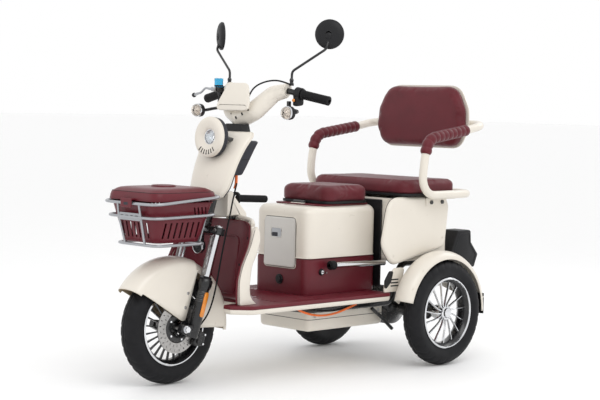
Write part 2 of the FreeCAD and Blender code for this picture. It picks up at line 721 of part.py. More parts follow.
# ---------------------------------------------------------------- cables
HOSE_ROUTE = [(92, 232, 716), (96, 214, 670), (98, 196, 600), (99, 176, 530), (100, 158, 460),
              (101, 142, 390), (101, 126, 320), (96, 108, 262), (82, 94, 226), (64, 84, 202)]
hose = tube_shape(HOSE_ROUTE, 3)
publish(feature("brake_hose_shape", hose), "brake_hose")
CABLE_ROUTE = [(48, 318, 1018), (66, 314, 1044), (92, 316, 1068), (124, 332, 1084),
               (156, 352, 1090), (178, 376, 1084), (192, 398, 1074)]
cable = tube_shape(CABLE_ROUTE, 3)
publish(feature("control_cable_shape", cable), "control_cables")
LOOM_ROUTE = [(192, 457, 251), (192, 494, 234), (192, 573, 218), (192, 653, 221), (192, 723, 237),
              (190, 770, 249)]
loom = tube_shape(LOOM_ROUTE, 4)
publish(feature("floor_cable_shape", loom), "floor_cable")

# ---------------------------------------------------------------- frame
backbone = tube_shape([on_axis(0, 24, 72), (0, 250, 640), (0, 300, 610), (0, 318, 540),
                       (0, 326, 320), (0, 350, 240), (0, 520, 240)], 17, 40)
head_tube = Part.makeCylinder(size("head_tube_radius"), 128, V(*on_axis(0, 0, 6)), V(*axis_up))
head_bore = Part.makeCylinder(size("steerer_radius") + size("bearing_clearance"), 200,
                              V(*on_axis(0, 0, -20)), V(*axis_up))
side_rail = tube_shape([(0, 372, 240), (170, 372, 240), (170, 1010, 240), (170, 1060, 300),
                        (170, 1060, 388)], 13, 30)
rear_rail = tube_shape([(170, 1040, 388), (170, 1252, 388)], 12.5)
rear_cross = tube_shape([(0, 1200, 387), (170, 1200, 387)], 11)
middle_cross = tube_shape([(0, 1000, 240), (170, 1000, 240)], 11)
axle_plate = Part.makeBox(8, 90, 188, V(196, 1073, 190))
axle_arm = Part.makeBox(34, 60, 12, V(166, 1088, 370))
stand_link = tube_shape([(176, 900, 236), (170, 960, 176), (152, 1018, 130)], 8, 60)
stand_bolt = Part.makeCylinder(9, 34, V(176, 900, 218), LEFT)
half_chassis = side_rail
for piece in (rear_rail, rear_cross, middle_cross, axle_plate, axle_arm, stand_link,
              stand_bolt):
    half_chassis = half_chassis.fuse(piece)
axle_bore = Part.makeCylinder(34.2, 600, V(-300, wheel_y, WHEEL_HEIGHT), LEFT)
chassis = both(half_chassis).fuse(backbone).fuse(head_tube).cut(head_bore).cut(axle_bore)
publish(feature("main_frame_shape", chassis), "main_frame")

AXLE_HOUSING_HALF = 258
axle_tube = cylinder("axle_tube", 34, 2 * AXLE_HOUSING_HALF,
                     (-AXLE_HOUSING_HALF, wheel_y, WHEEL_HEIGHT), (1, 0, 0))
motor_can = cylinder("motor_can", 74, 130, (-65, wheel_y, WHEEL_HEIGHT), (1, 0, 0))
shaft_bore = cylinder("shaft_bore", "rear_axle_radius + bearing_clearance", 700,
                      (-350, wheel_y, WHEEL_HEIGHT), (1, 0, 0))
publish(cut("axle_housing_solid", fuse("axle_housing_blank", axle_tube, motor_can), shaft_bore),
        "rear_axle_housing")

belly = box("belly_outer", 274, 420, 72, (-137, 565, 150))
belly_hollow = box("belly_hollow", 268, 414, 80, (-134, 568, 153))
publish(cut("belly_solid", belly, belly_hollow), "belly_box")

# ---------------------------------------------------------------- floor and shields
floor_half = size("floor_half_width")
floor_rear = size("floor_rear")
ARCH_HALF, ARCH_REAR = 152, 268


def floor_outline(inset):
    """Plan of the footboard with the wheel arch cut into its front edge."""
    side = floor_half - inset
    return [
        (-193, 120 + inset, 12), (-ARCH_HALF, 120 + inset, 10), (-ARCH_HALF + 10, 200, 30),
        (-70, ARCH_REAR, 40), (70, ARCH_REAR, 40), (ARCH_HALF - 10, 200, 30),
        (ARCH_HALF, 120 + inset, 10), (193, 120 + inset, 12), (side, 176 + inset, 30),
        (side, floor_rear - inset, 16), (-side, floor_rear - inset, 16),
        (-side, 176 + inset, 30),
    ]


DECK_THICKNESS = 14
deck = padded_body("floor_deck_body", "XY", floor_outline(0), DECK_THICKNESS,
                   place=Placement(V(0, 0, size("floor_top") - DECK_THICKNESS), Rotation()))
backbone_way = box("backbone_way", 40, 56, 60, (-20, 304, 250))
publish(cut("floor_deck_solid", deck, backbone_way), "floor_deck")
skirt = padded_body("floor_skirt_plate", "XY", floor_outline(2), 18,
                    place=Placement(V(0, 0, 257.5), Rotation()))
skirt_hollow = box("skirt_hollow", 448, 590, 30, (-224, 300, 250))
publish(cut("floor_skirt_solid", skirt, skirt_hollow), "floor_skirt")

SHIELD_LEVELS = [(290.5, 196, 144, 262), (331, 198, 142, 264), (379, 199, 143, 266),
                 (434, 199, 160, 269), (490, 199, 190, 274), (527, 198, 205, 280),
                 (553, 192, 210, 285), (578, 172, 232, 290)]


def shield_section(z, wing_x, wing_y, middle_y, offset, thickness, spread):
    """Plan section of the leg shield: wings reach forward, the middle is set back."""
    turn = 30
    outer = [(wing_x + spread, wing_y + offset), (wing_x - turn, wing_y + 10 + offset),
             (128, (wing_y + middle_y) / 2 + 30 + offset), (64, middle_y - 6 + offset)]
    front = [(-x, y) for x, y in outer] + [(x, y) for x, y in reversed(outer)]
    rear = [(x, y + thickness) for x, y in reversed(front)]
    points = [V(x, y, z) for x, y in front + rear]
    return Part.makePolygon(points + points[:1])


def shield_loft(offset, thickness, spread):
    """Leg shield skin lofted up through its plan sections."""
    return Part.makeLoft([shield_section(*level, offset, thickness, spread)
                          for level in SHIELD_LEVELS], True, True)


front_shield = shield_loft(0, 5, 0)
publish(feature("leg_shield_front_shape", front_shield), "leg_shield_front")
rider_panel = shield_loft(5.5, 14, 10)
TOWER_HALF = 40
TOWER_SIDE = [(236, 592), (236, 684), (262, 684), (276, 660), (300, 634), (330, 604),
              (337, 540), (300, 540), (300, 592)]
tower = side_prism(TOWER_SIDE, -TOWER_HALF, TOWER_HALF)
tower_hollow = side_prism([(234, 590), (234, 678), (259, 678), (270, 657), (292, 632),
                           (300, 622), (304, 590)], 5 - TOWER_HALF, TOWER_HALF - 5)
CHEEK_SIDE = [(155, 290.5), (152, 331), (153, 379), (170, 434), (200, 490), (214, 527),
              (224, 566), (236, 566), (248, 549), (251, 515), (235, 468), (214, 427),
              (205, 366), (206, 323), (220, 303), (234, 290.5)]
rider_panel = rider_panel.fuse(tower).cut(tower_hollow)
for side in (1, -1):
    rider_panel = rider_panel.fuse(side_prism(CHEEK_SIDE, side * 190, side * 204))
tube_clear = tube_shape([on_axis(0, 24, 72), (0, 250, 640), (0, 300, 610), (0, 318, 540),
                         (0, 326, 320), (0, 350, 240), (0, 520, 240)], 18, 40)
publish(feature("leg_shield_rear_shape", rider_panel.cut(tube_clear)), "leg_shield_rear")
PARKING_PIVOT_Y = 316
parking_grip = tube_shape([(0, PARKING_PIVOT_Y, 654), (0, 380, 652), (0, 465, 647)], 14, 80)
parking_boot = Part.makeCylinder(20, 26, V(0, PARKING_PIVOT_Y - 10, 654), BACK)
parking_pin = Part.makeCylinder(6, 48, V(-24, PARKING_PIVOT_Y, 654), LEFT)
publish(feature("parking_lever_shape", parking_grip.fuse(parking_boot).fuse(parking_pin)),
        "parking_lever")

# ---------------------------------------------------------------- front seat box
box_half = size("box_half_width")
box_front = size("box_front")
box_rear = size("box_rear")
split = size("box_split")
BASE_TOP = split - 0.3


def inset_box(inset, corner):
    """Plan of the seat box's inside at a wall thickness."""
    side = box_half - inset
    return [(-side, box_front + inset, corner), (side, box_front + inset, corner),
            (side, box_rear - inset, corner), (-side, box_rear - inset, corner)]


SHELL_TOP = 622
SHELL_HOLLOW_TOP = 596
base_outer = box("base_outer", "box_half_width * 2", "box_rear - box_front",
                 BASE_TOP - 290.5, (-box_half, box_front, 290.5))
base_round = rounded("base_round", base_outer, 32,
                     lambda e: abs(e.Length - (BASE_TOP - 290.5)) < 0.01)
base_hollow = padded_body("base_hollow", "XY", inset_box(5, 21), 300,
                          place=Placement(V(0, 0, 295), Rotation()))
publish(cut("seat_box_base_solid", base_round, base_hollow), "seat_box_base")

shell_outer = box("shell_outer", 2 * box_half + 6, box_rear - box_front + 6,
                  SHELL_TOP - split, (-box_half - 3, box_front - 1, split))
shell_round = rounded("shell_round", shell_outer, 44,
                      lambda e: abs(e.Length - (SHELL_TOP - split)) < 0.01)
shell_top = rounded("shell_top", shell_round, 26, lambda e: e.BoundBox.ZMin > SHELL_TOP - 0.01)
shell_hollow = padded_body("shell_hollow", "XY", inset_box(3, 41), SHELL_HOLLOW_TOP - split,
                           place=Placement(V(0, 0, split - 1), Rotation()))
shell_mouth = box("shell_mouth", 200, 200, 60, (-100, 670, SHELL_TOP - 40))
publish(cut("seat_box_shell_solid", shell_top, shell_hollow, shell_mouth), "seat_box_shell")

saddle_ledge = padded_body("saddle_ledge", "XY", [
    (-128, 622, 40), (128, 622, 40), (128, 906, 40), (-128, 906, 40),
], 5, place=Placement(V(0, 0, SHELL_TOP + 0.5), Rotation()))
ledge_mouth = box("ledge_mouth", 200, 200, 20, (-100, 670, SHELL_TOP - 10))
publish(cut("saddle_plate_solid", saddle_ledge, ledge_mouth), "saddle_plate")

saddle = padded_body("saddle_block", "XY", [
    (-140, 652, 58), (140, 652, 58), (140, 905, 58), (-140, 905, 58),
], 69, place=Placement(V(0, 0, size("front_seat_base")), Rotation()))
saddle_hinge = cylinder("saddle_hinge", 5, 60, (-30, 643, 634), (1, 0, 0))
saddle_lug = box("saddle_lug", 60, 12, 6, (-30, 643, 631))
publish(fuse("saddle_solid", saddle, saddle_hinge, saddle_lug), "saddle_cushion")

door = padded_body("door_plate", "XZ", [
    (-83, 0, 14), (83, 0, 14), (83, 187, 16), (-83, 187, 16),
], 4, place=Placement(V(0, box_front - 1.5, 390), Rotation()))
pull = box("door_pull", 46, 3, 34, (-40, box_front - 6, 500))
door_hinge = cylinder("door_hinge", 3, 60, (-30, box_front - 3.5, 390), (1, 0, 0))
publish(fuse("battery_door_solid", cut("door_with_pull", door, pull), door_hinge),
        "battery_door")

port = cylinder("port_body", 19, 10, (0, box_front - 0.3, 342), (0, -1, 0))
lock_body = cylinder("lock_body", 13, 8, (box_half + 0.3, 626, 375), (1, 0, 0))
publish(group("body_fittings_group", port, lock_body), "body_fittings")
key_blade = box("key_blade", 22, 3, 8, (box_half + 8.6, 624.5, 371))
publish(key_blade, "key")
publish(box("battery_case", 190, 300, 130, (-95, 590, 296)), "battery_pack")

# chrome rails along the seat box with rubber ends
rails = []
for side in (1, -1):
    rail = tube_shape([(side * 170, 656, 402), (side * 172, 940, 397)], size("bar_radius"))
    cap = Part.makeCylinder(17, 30, V(side * 170, 640, 402), BACK)
    stay = Part.makeCylinder(8, 27, V(side * 143.5, 700, 401), V(side, 0, 0))
    rails.append(rail.fuse(cap).fuse(stay))
publish(feature("side_bars_shape", Part.makeCompound(rails)), "side_bars")

# ---------------------------------------------------------------- rear body
PANEL_OUTLINE = [(905, 392, 60), (1212, 452, 40), (1232, 620, 60), (1205, 654, 30),
                 (880, 654, 70), (842, 470, 70)]
panels = []
for side in (1, -1):
    panel = padded_body(f"side_panel_{side + 1}", "YZ", PANEL_OUTLINE, 16,
                        place=Placement(V(236 if side > 0 else -252, 0, 0), Rotation()))
    panels.append(panel)
ARCH_OUTLINE = [(868, 291, 6), (960, 291, 8), (980, 382, 12), (925, 382, 16), (872, 336, 16)]
for side in (1, -1):
    panels.append(padded_body(f"arch_panel_{side + 1}", "YZ", ARCH_OUTLINE, 8,
                              place=Placement(V(238 if side > 0 else -246, 0, 0), Rotation())))
publish(group("side_panels_group", *panels), "rear_side_panels")

bin_outer = box("bin_outer", 466, 296, 244, (-233, 950, 403))
bin_hollow = box("bin_hollow", 458, 288, 245, (-229, 954, 408))
publish(cut("rear_bin_solid", bin_outer, bin_hollow), "rear_bin")

BENCH_OUTLINE = [(-272, 948, 70), (272, 948, 70), (272, 1266, 40), (-272, 1266, 40)]
bench = padded_body("bench_block", "XY", BENCH_OUTLINE, 62,
                    place=Placement(V(0, 0, size("rear_seat_base")), Rotation()))
bench_hinge = cylinder("bench_hinge", 5, 80, (-40, 940, 664), (1, 0, 0))
bench_lug = box("bench_lug", 80, 14, 6, (-40, 940, 661))
publish(fuse("bench_solid", bench, bench_hinge, bench_lug), "bench_cushion")


REAR_GUARD_SIDE = [(-232, 62), (-236, 30), (-300, 30), (-300, 300), (300, 300), (300, 8),
                   (226, 8), (150, 60), (0, 100), (-150, 100)]


def rear_guard(side):
    """Quarter-round mudguard: deep wall inboard, shallow lip outboard, and its flap."""
    guard = guard_shell(240, 45, 2.5, 20).common(side_prism(REAR_GUARD_SIDE, -80, 80))
    wheel_room = Part.makeCylinder(209, 110, V(-side * 34, 0, 0), V(side, 0, 0))
    guard = guard.cut(wheel_room)
    guard.translate(V(side * 306, wheel_y, WHEEL_HEIGHT))
    flap = Part.makeBox(76, 4, 84, V(side * 306 - 38, wheel_y + 224, 184))
    return [guard, flap]


publish(feature("rear_fenders_shape", Part.makeCompound(rear_guard(1) + rear_guard(-1))),
        "rear_fenders")

TAIL_OUTLINE = [(1252, 428, 6), (1290, 512, 8), (1372, 512, 12), (1376, 462, 6),
                (1420, 412, 10), (1398, 360, 8), (1290, 372, 8)]
tails = []
for side in (1, -1):
    tails.append(padded_body(f"tail_{side + 1}", "YZ", TAIL_OUTLINE, 84,
                             place=Placement(V(166 if side > 0 else -250, 0, 0), Rotation())))
tail_bridge = box("tail_bridge", 331, 24, 60, (-165.5, 1300, 376))
publish(group("tail_group", *tails, tail_bridge), "tail_housing")

# ---------------------------------------------------------------- arm frame and backrest
arm_radius = size("arm_tube_radius")
arm_x = size("arm_half_width")
ARM_ROUTE = [(0, 1306, 663), (arm_x, 1306, 663), (arm_x, 1000, 663), (arm_x + 3, 1010, 800),
             (arm_x, 1034, 880), (arm_x - 5, 1279, 916), (arm_x - 3, 1385, 936),
             (0, 1385, 936)]
ARM_BENDS = [0, 60, 70, 400, 60, 500, 60, 0]
arm_wire = route_wire(ARM_ROUTE, ARM_BENDS)
arm_section = Part.Wire([Part.Circle(V(*ARM_ROUTE[0]), LEFT, arm_radius).toShape()])
half_arm = arm_wire.makePipeShell([arm_section], True, False)
mount_plate = Part.makeBox(44, 120, 5, V(258, 1084, 645))
mount_lip = Part.makeBox(5, 120, 34, V(253, 1084, 616))
arm_frame = both(half_arm.fuse(mount_plate).fuse(mount_lip))
publish(feature("arm_frame_shape", arm_frame), "arm_frame")

SLEEVE_ROUTE = [(arm_x + 2.6, 1015.5, 822), (arm_x, 1034, 880), (arm_x - 4.8, 1268, 914.4)]


def sleeve_shape(radius):
    """Thick leather sleeve that follows the bend of the arm tube."""
    path = route_wire(SLEEVE_ROUTE, [0, 60, 0])
    start, following = V(*SLEEVE_ROUTE[0]), V(*SLEEVE_ROUTE[1])
    section = Part.Wire([Part.Circle(start, following - start, radius).toShape()])
    return path.makePipeShell([section], True, False)


sleeve = sleeve_shape(size("sleeve_radius")).cut(half_arm)
publish(feature("arm_sleeves_shape", Part.makeCompound([sleeve, mirrored(sleeve)])),
        "arm_sleeves")

BACK_OUTLINE = [(-205, 0, 70), (205, 0, 70), (244, 84, 70), (238, 165, 110), (188, 262, 90),
                (-188, 262, 90), (-238, 165, 110), (-244, 84, 70)]
back_lean = Rotation(LEFT, -3)
publish(padded_body("backrest_pad_block", "XZ", BACK_OUTLINE, 44,
                    place=Placement(V(0, 1345, 833), back_lean)), "backrest_cushion")
shell_plate = padded_body("backrest_plate", "XZ", BACK_OUTLINE, 10,
                          place=Placement(V(0, 1355.5, 833), back_lean))
back_clamps = [box(f"back_clamp{i}", 30, 10, 30, (x - 15, 1358, 921))
               for i, x in enumerate((-90, 90))]
tube_room = feature("tube_room", both(tube_shape([(0, 1385, 936), (200, 1385, 936)],
                                                 arm_radius + 0.3)))
publish(cut("backrest_shell_solid", fuse("backrest_shell_blank", shell_plate, *back_clamps),
            tube_room), "backrest_shell")

# ---------------------------------------------------------------- check and export
doc.recompute()
faults = [f"{o.Name}: {o.State}" for o in doc.Objects
          if "Invalid" in o.State or "Error" in o.State]
for part in sub_parts:
    if part.Shape.isNull() or not part.Shape.isValid():
        faults.append(f"{part.Label}: bad shape")
    elif not part.Shape.Solids:
        faults.append(f"{part.Label}: no solid")
labels = [part.Label for part in sub_parts]
if len(set(labels)) != len(labels):
    faults.append("two sub-parts share a name")
if faults:
    raise RuntimeError("; ".join(faults))

everything = FreeCAD.BoundBox()
for part in sub_parts:
    everything.add(part.Shape.optimalBoundingBox())
    part.Shape.exportStep(f"parts/{part.Label}.step")
print(f"{len(sub_parts)} sub-parts, overall {everything}")
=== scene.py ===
import math
import bmesh
import bpy
from mathutils import Matrix, Vector


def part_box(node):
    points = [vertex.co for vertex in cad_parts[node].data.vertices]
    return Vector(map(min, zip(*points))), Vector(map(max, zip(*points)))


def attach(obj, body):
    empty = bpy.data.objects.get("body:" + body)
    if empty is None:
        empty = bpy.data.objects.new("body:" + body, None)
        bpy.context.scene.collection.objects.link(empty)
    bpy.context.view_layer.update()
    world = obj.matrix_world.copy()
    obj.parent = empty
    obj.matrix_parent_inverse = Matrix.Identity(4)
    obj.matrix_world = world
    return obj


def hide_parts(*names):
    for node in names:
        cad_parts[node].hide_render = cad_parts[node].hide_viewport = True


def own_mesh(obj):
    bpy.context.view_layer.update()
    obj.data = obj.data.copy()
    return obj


# Looks of the adult electric tricycle.  Pieces are drawn in millimetres from the front
# axle's ground point (x left, y back, z up), as the design is, and at() turns them into
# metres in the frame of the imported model.
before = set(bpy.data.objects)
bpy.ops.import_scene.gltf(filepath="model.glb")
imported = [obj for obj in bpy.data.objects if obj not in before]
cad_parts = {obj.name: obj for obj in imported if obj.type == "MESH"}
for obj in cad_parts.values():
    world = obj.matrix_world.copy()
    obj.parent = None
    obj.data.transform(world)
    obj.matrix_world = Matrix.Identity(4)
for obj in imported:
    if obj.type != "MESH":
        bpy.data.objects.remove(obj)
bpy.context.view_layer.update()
MM = 0.001
TAU = 2 * math.pi
SHARP_ANGLE = math.radians(38)
BEVEL_ANGLE = math.radians(35)
WELD = 2e-05


def box_middle(node):
    """Middle of a node's box."""
    low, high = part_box(node)
    return (Vector(low) + Vector(high)) / 2


AXLE = box_middle("front_tyre")
REAR_AXLE = box_middle("rear_tyre_left")
WHEELBASE = (REAR_AXLE.y - AXLE.y) / MM
HALF_TRACK = REAR_AXLE.x / MM
WHEEL_HEIGHT = AXLE.z / MM
RAKE = math.radians(17)
AXIS_UP = Vector((0, math.sin(RAKE), math.cos(RAKE)))
AXIS_BACK = Vector((0, math.cos(RAKE), -math.sin(RAKE)))
CROWN = Vector((0, 160, 560))


def at(point):
    """Metres in the model's frame of a point in millimetres from the front axle."""
    x, y, z = point
    return Vector((x * MM, AXLE.y + y * MM, z * MM))


def on_axis(x, y, z):
    """Point of the steering frame, in millimetres from the front axle."""
    return CROWN + Vector((x, 0, 0)) + AXIS_BACK * y + AXIS_UP * z


# ---------------------------------------------------------------- camera, light
YAW, PITCH, ROLL = (math.radians(45.33), math.radians(3.58), math.radians(1.23))
CAMERA_PLACE = (4454, -3758, 1030)
LENS, SENSOR = (98.5, 36)

# name, place and target in metres, width in metres, power in watts
LAMPS = (("key_lamp", (2.4, -1.2, 3.2), (0, 0, 0.6), 2.6, 34), ("fill_lamp", (-1.6, -3.2, 1.8),
    (0, 0, 0.6), 2.2, 6), ("rear_lamp", (0.6, 3.0, 2.6), (0, 0, 0.7), 2.0, 14))
LAMP_SHAPE = 0.7


def place_camera():
    """Camera at the studio view: front left, a little above the bench."""
    back = Vector((math.sin(YAW) * math.cos(PITCH), -math.cos(YAW) * math.cos(PITCH),
        math.sin(PITCH)))
    right = Vector((0, 0, 1)).cross(back).normalized()
    up = back.cross(right)
    rolled_right = right * math.cos(ROLL) + up * math.sin(ROLL)
    rolled_up = up * math.cos(ROLL) - right * math.sin(ROLL)
    turn = Matrix((rolled_right, rolled_up, back)).transposed().to_4x4()
    data = bpy.data.cameras.new("studio_camera")
    data.lens = LENS
    data.sensor_width = SENSOR
    camera = bpy.data.objects.new("studio_camera", data)
    camera.matrix_world = Matrix.Translation(at(CAMERA_PLACE)) @ turn
    bpy.context.collection.objects.link(camera)
    bpy.context.scene.camera = camera


def area_light(name, place, target, width, power):
    """Soft rectangular lamp aimed at a point (metres)."""
    data = bpy.data.lights.new(name, "AREA")
    data.shape = "RECTANGLE"
    data.size = width
    data.size_y = width * LAMP_SHAPE
    data.energy = power
    lamp = bpy.data.objects.new(name, data)
    lamp.location = place
    aim = Vector(target) - Vector(place)
    lamp.rotation_euler = aim.to_track_quat("-Z", "Y").to_euler()
    bpy.context.collection.objects.link(lamp)


def light_studio():
    """White surroundings with a large key lamp, a fill and a rim lamp."""
    world = bpy.data.worlds.new("studio")
    world.use_nodes = True
    world.node_tree.nodes["Background"].inputs["Color"].default_value = (1, 1, 1, 1)
    world.node_tree.nodes["Background"].inputs["Strength"].default_value = 1.0
    bpy.context.scene.world = world
    bpy.context.scene.view_settings.view_transform = "Standard"
    for lamp in LAMPS:
        area_light(*lamp)


# ---------------------------------------------------------------- materials
def link(tree, source, target):
    """Join two sockets of a node tree."""
    tree.links.new(source, target)


def make_node(tree, kind, **values):
    """Shader node with its input values; an underscore stands for a space."""
    made = tree.nodes.new("ShaderNode" + kind)
    for name, value in values.items():
        made.inputs[name.replace("_", " ")].default_value = value
    return made


def material(name, color, rough, metallic=0.0, coat=0.0, mottle=0.06, mottle_scale=9.0,
        grain=None, grain_scale=600.0, grain_depth=0.15, rough_spread=0.06, sheen=0.0, wear=0.0,
        wear_color=(0.5, 0.5, 0.5), gloss=0.5):
    """Procedural surface: mottled colour, uneven gloss, fine relief and worn edges."""
    surface = bpy.data.materials.new(name)
    surface.use_nodes = True
    tree = surface.node_tree
    shader = tree.nodes["Principled BSDF"]
    for socket, value in (("Metallic", metallic), ("Coat Weight", coat), ("Coat Roughness", 0.12),
            ("Sheen Weight", sheen), ("Specular IOR Level", gloss)):
        shader.inputs[socket].default_value = value
    coords = make_node(tree, "TexCoord").outputs["Object"]
    cloud = make_node(tree, "TexNoise", Scale=mottle_scale, Detail=5)
    link(tree, coords, cloud.inputs["Vector"])
    ramp = make_node(tree, "ValToRGB")
    dark = [c * (1 - mottle) for c in color]
    light = [min(c * (1 + mottle), 1) for c in color]
    for stop, position, shade in zip(ramp.color_ramp.elements, (0.3, 0.7), (dark, light)):
        stop.position = position
        stop.color = (*shade, 1)
    link(tree, cloud.outputs["Fac"], ramp.inputs["Fac"])
    color_out = ramp.outputs["Color"]
    if wear:
        geometry = make_node(tree, "NewGeometry")
        edge = make_node(tree, "MapRange", From_Min=0.54, From_Max=0.62, To_Max=wear)
        link(tree, geometry.outputs["Pointiness"], edge.inputs["Value"])
        mix = make_node(tree, "Mix")
        mix.data_type = "RGBA"
        mix.inputs[7].default_value = (*wear_color, 1)
        link(tree, edge.outputs["Result"], mix.inputs[0])
        link(tree, color_out, mix.inputs[6])
        color_out = mix.outputs[2]
    link(tree, color_out, shader.inputs["Base Color"])
    smear = make_node(tree, "TexNoise", Scale=40, Detail=3)
    link(tree, coords, smear.inputs["Vector"])
    spread = make_node(tree, "MapRange", To_Min=max(rough - rough_spread, 0.02),
        To_Max=min(rough + rough_spread, 1))
    link(tree, smear.outputs["Fac"], spread.inputs["Value"])
    link(tree, spread.outputs["Result"], shader.inputs["Roughness"])
    if grain:
        if grain == "cells":
            relief = make_node(tree, "TexVoronoi", Scale=grain_scale)
            relief.feature = "DISTANCE_TO_EDGE"
            height = relief.outputs["Distance"]
        else:
            relief = make_node(tree, "TexNoise", Scale=grain_scale, Detail=4)
            height = relief.outputs["Fac"]
        link(tree, coords, relief.inputs["Vector"])
        bump = make_node(tree, "Bump", Strength=grain_depth, Distance=0.0006)
        link(tree, height, bump.inputs["Height"])
        link(tree, bump.outputs["Normal"], shader.inputs["Normal"])
    return surface


CREAM = (0.735, 0.685, 0.605)
MAROON = (0.118, 0.0085, 0.0165)
LEATHER_MAROON = (0.105, 0.0085, 0.015)
BLACK = (0.006, 0.006, 0.007)
cream_gloss = material("cream_gloss", CREAM, 0.3, coat=0.25, mottle=0.02, grain="noise",
    grain_scale=240, grain_depth=0.04)
cream_paint = material("cream_paint", CREAM, 0.38, coat=0.2, mottle=0.03, grain="noise",
    grain_scale=420, grain_depth=0.08, wear=0.25, wear_color=(0.55, 0.52, 0.47))
maroon_plastic = material("maroon_plastic", MAROON, 0.4, mottle=0.05, grain="noise",
    grain_scale=900, grain_depth=0.2, coat=0.08, gloss=0.32)
maroon_leather = material("maroon_leather", LEATHER_MAROON, 0.46, mottle=0.12, mottle_scale=14,
    grain="cells", grain_scale=520, grain_depth=0.45, sheen=0.12, rough_spread=0.08, gloss=0.28)
black_plastic = material("black_plastic", (0.008, 0.008, 0.0095), 0.48, mottle=0.1, grain="noise",
    grain_scale=1300, grain_depth=0.3, gloss=0.3)
dark_plastic = material("dark_plastic", (0.024, 0.025, 0.034), 0.42, mottle=0.08, grain="noise",
    grain_scale=1200, grain_depth=0.25, gloss=0.3)
black_paint = material("black_paint", BLACK, 0.28, coat=0.4, mottle=0.1, wear=0.35,
    wear_color=(0.12, 0.12, 0.12), gloss=0.35)
black_rubber = material("black_rubber", (0.006, 0.006, 0.0068), 0.62, mottle=0.15, grain="noise",
    grain_scale=700, grain_depth=0.35, gloss=0.22)
tyre_rubber = material("tyre_rubber", (0.006, 0.006, 0.0075), 0.58, mottle=0.2, mottle_scale=22,
    grain="noise", grain_scale=480, grain_depth=0.3, rough_spread=0.08, gloss=0.25)
chrome = material("chrome", (0.72, 0.73, 0.75), 0.1, metallic=1, mottle=0.03, rough_spread=0.04)
steel = material("ground_steel", (0.42, 0.41, 0.4), 0.34, metallic=1, mottle=0.1, mottle_scale=60,
    grain="noise", grain_scale=900, grain_depth=0.15)
silver_paint = material("silver_paint", (0.36, 0.37, 0.39), 0.3, metallic=0.75, coat=0.3,
    mottle=0.05, grain="noise", grain_scale=1500, grain_depth=0.08)
tan_lining = material("tan_lining", (0.42, 0.33, 0.22), 0.6, mottle=0.08, grain="noise",
    grain_scale=500, grain_depth=0.2)
orange_sleeve = material("orange_sleeve", (0.75, 0.14, 0.015), 0.5, mottle=0.1, grain="noise",
    grain_scale=1500, grain_depth=0.3)
amber = material("amber_reflector", (0.7, 0.23, 0.02), 0.18, coat=0.6, mottle=0.12,
    mottle_scale=60, grain="cells", grain_scale=400, grain_depth=0.6)
red_lens = material("red_lens", (0.3, 0.01, 0.012), 0.15, coat=0.6, mottle=0.1, grain="cells",
    grain_scale=300, grain_depth=0.6)
mirror_glass = material("mirror_glass", (0.85, 0.87, 0.9), 0.03, metallic=1, mottle=0.01,
    rough_spread=0.01)
door_grey = material("door_grey", (0.62, 0.605, 0.575), 0.34, metallic=0.2, coat=0.2, mottle=0.03,
    grain="noise", grain_scale=900, grain_depth=0.1)
dark_gap = material("dark_gap", (0.01, 0.01, 0.011), 0.8, mottle=0.1)


def clear_plastic(name, tint, rough=0.05):
    """Transparent moulding with a faint cast."""
    surface = material(name, tint, rough, mottle=0.02, rough_spread=0.02, grain="cells",
        grain_scale=260, grain_depth=0.05)
    shader = surface.node_tree.nodes["Principled BSDF"]
    shader.inputs["Transmission Weight"].default_value = 0.85
    shader.inputs["IOR"].default_value = 1.45
    return surface


lamp_glass = clear_plastic("lamp_glass", (0.92, 0.95, 0.97))
amber_clear = clear_plastic("amber_clear", (0.93, 0.86, 0.78), 0.08)
blue_fluid = clear_plastic("blue_reservoir", (0.05, 0.45, 0.75), 0.12)

# ---------------------------------------------------------------- mesh tools
SIDES = ((1, "left"), (-1, "right"))


def left_only(side, node):
    """A node that holds both sides is replaced once, with the left piece."""
    return node if side > 0 else None


def add(name, shape, surface, body="chassis", node=None, bevel=0.0, thickness=0.0):
    """Object from a shape, or a list of shapes, in millimetres.

    It gets its wall thickness, rounded edges, material and body, and stands for a node.
    """
    verts, faces = join_shapes(*shape) if isinstance(shape, list) else shape
    mesh = bpy.data.meshes.new(name)
    mesh.from_pydata([at(v) for v in verts], [], faces)
    mesh.update()
    tidy = bmesh.new()
    tidy.from_mesh(mesh)
    bmesh.ops.remove_doubles(tidy, verts=tidy.verts, dist=WELD)
    bmesh.ops.recalc_face_normals(tidy, faces=tidy.faces)
    tidy.to_mesh(mesh)
    tidy.free()
    piece = bpy.data.objects.new(name, mesh)
    bpy.context.collection.objects.link(piece)
    mesh.materials.append(surface)
    if thickness:
        shell = piece.modifiers.new("shell", "SOLIDIFY")
        shell.thickness = thickness * MM
        shell.offset = 0
        shell.use_even_offset = False
    if bevel:
        edge = piece.modifiers.new("edge", "BEVEL")
        edge.width = bevel * MM
        edge.segments = 3
        edge.limit_method = "ANGLE"
        edge.angle_limit = BEVEL_ANGLE
    mesh.shade_smooth()
    mesh.set_sharp_from_angle(angle=SHARP_ANGLE)
    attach(piece, body)
    if node:
        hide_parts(node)
    return piece


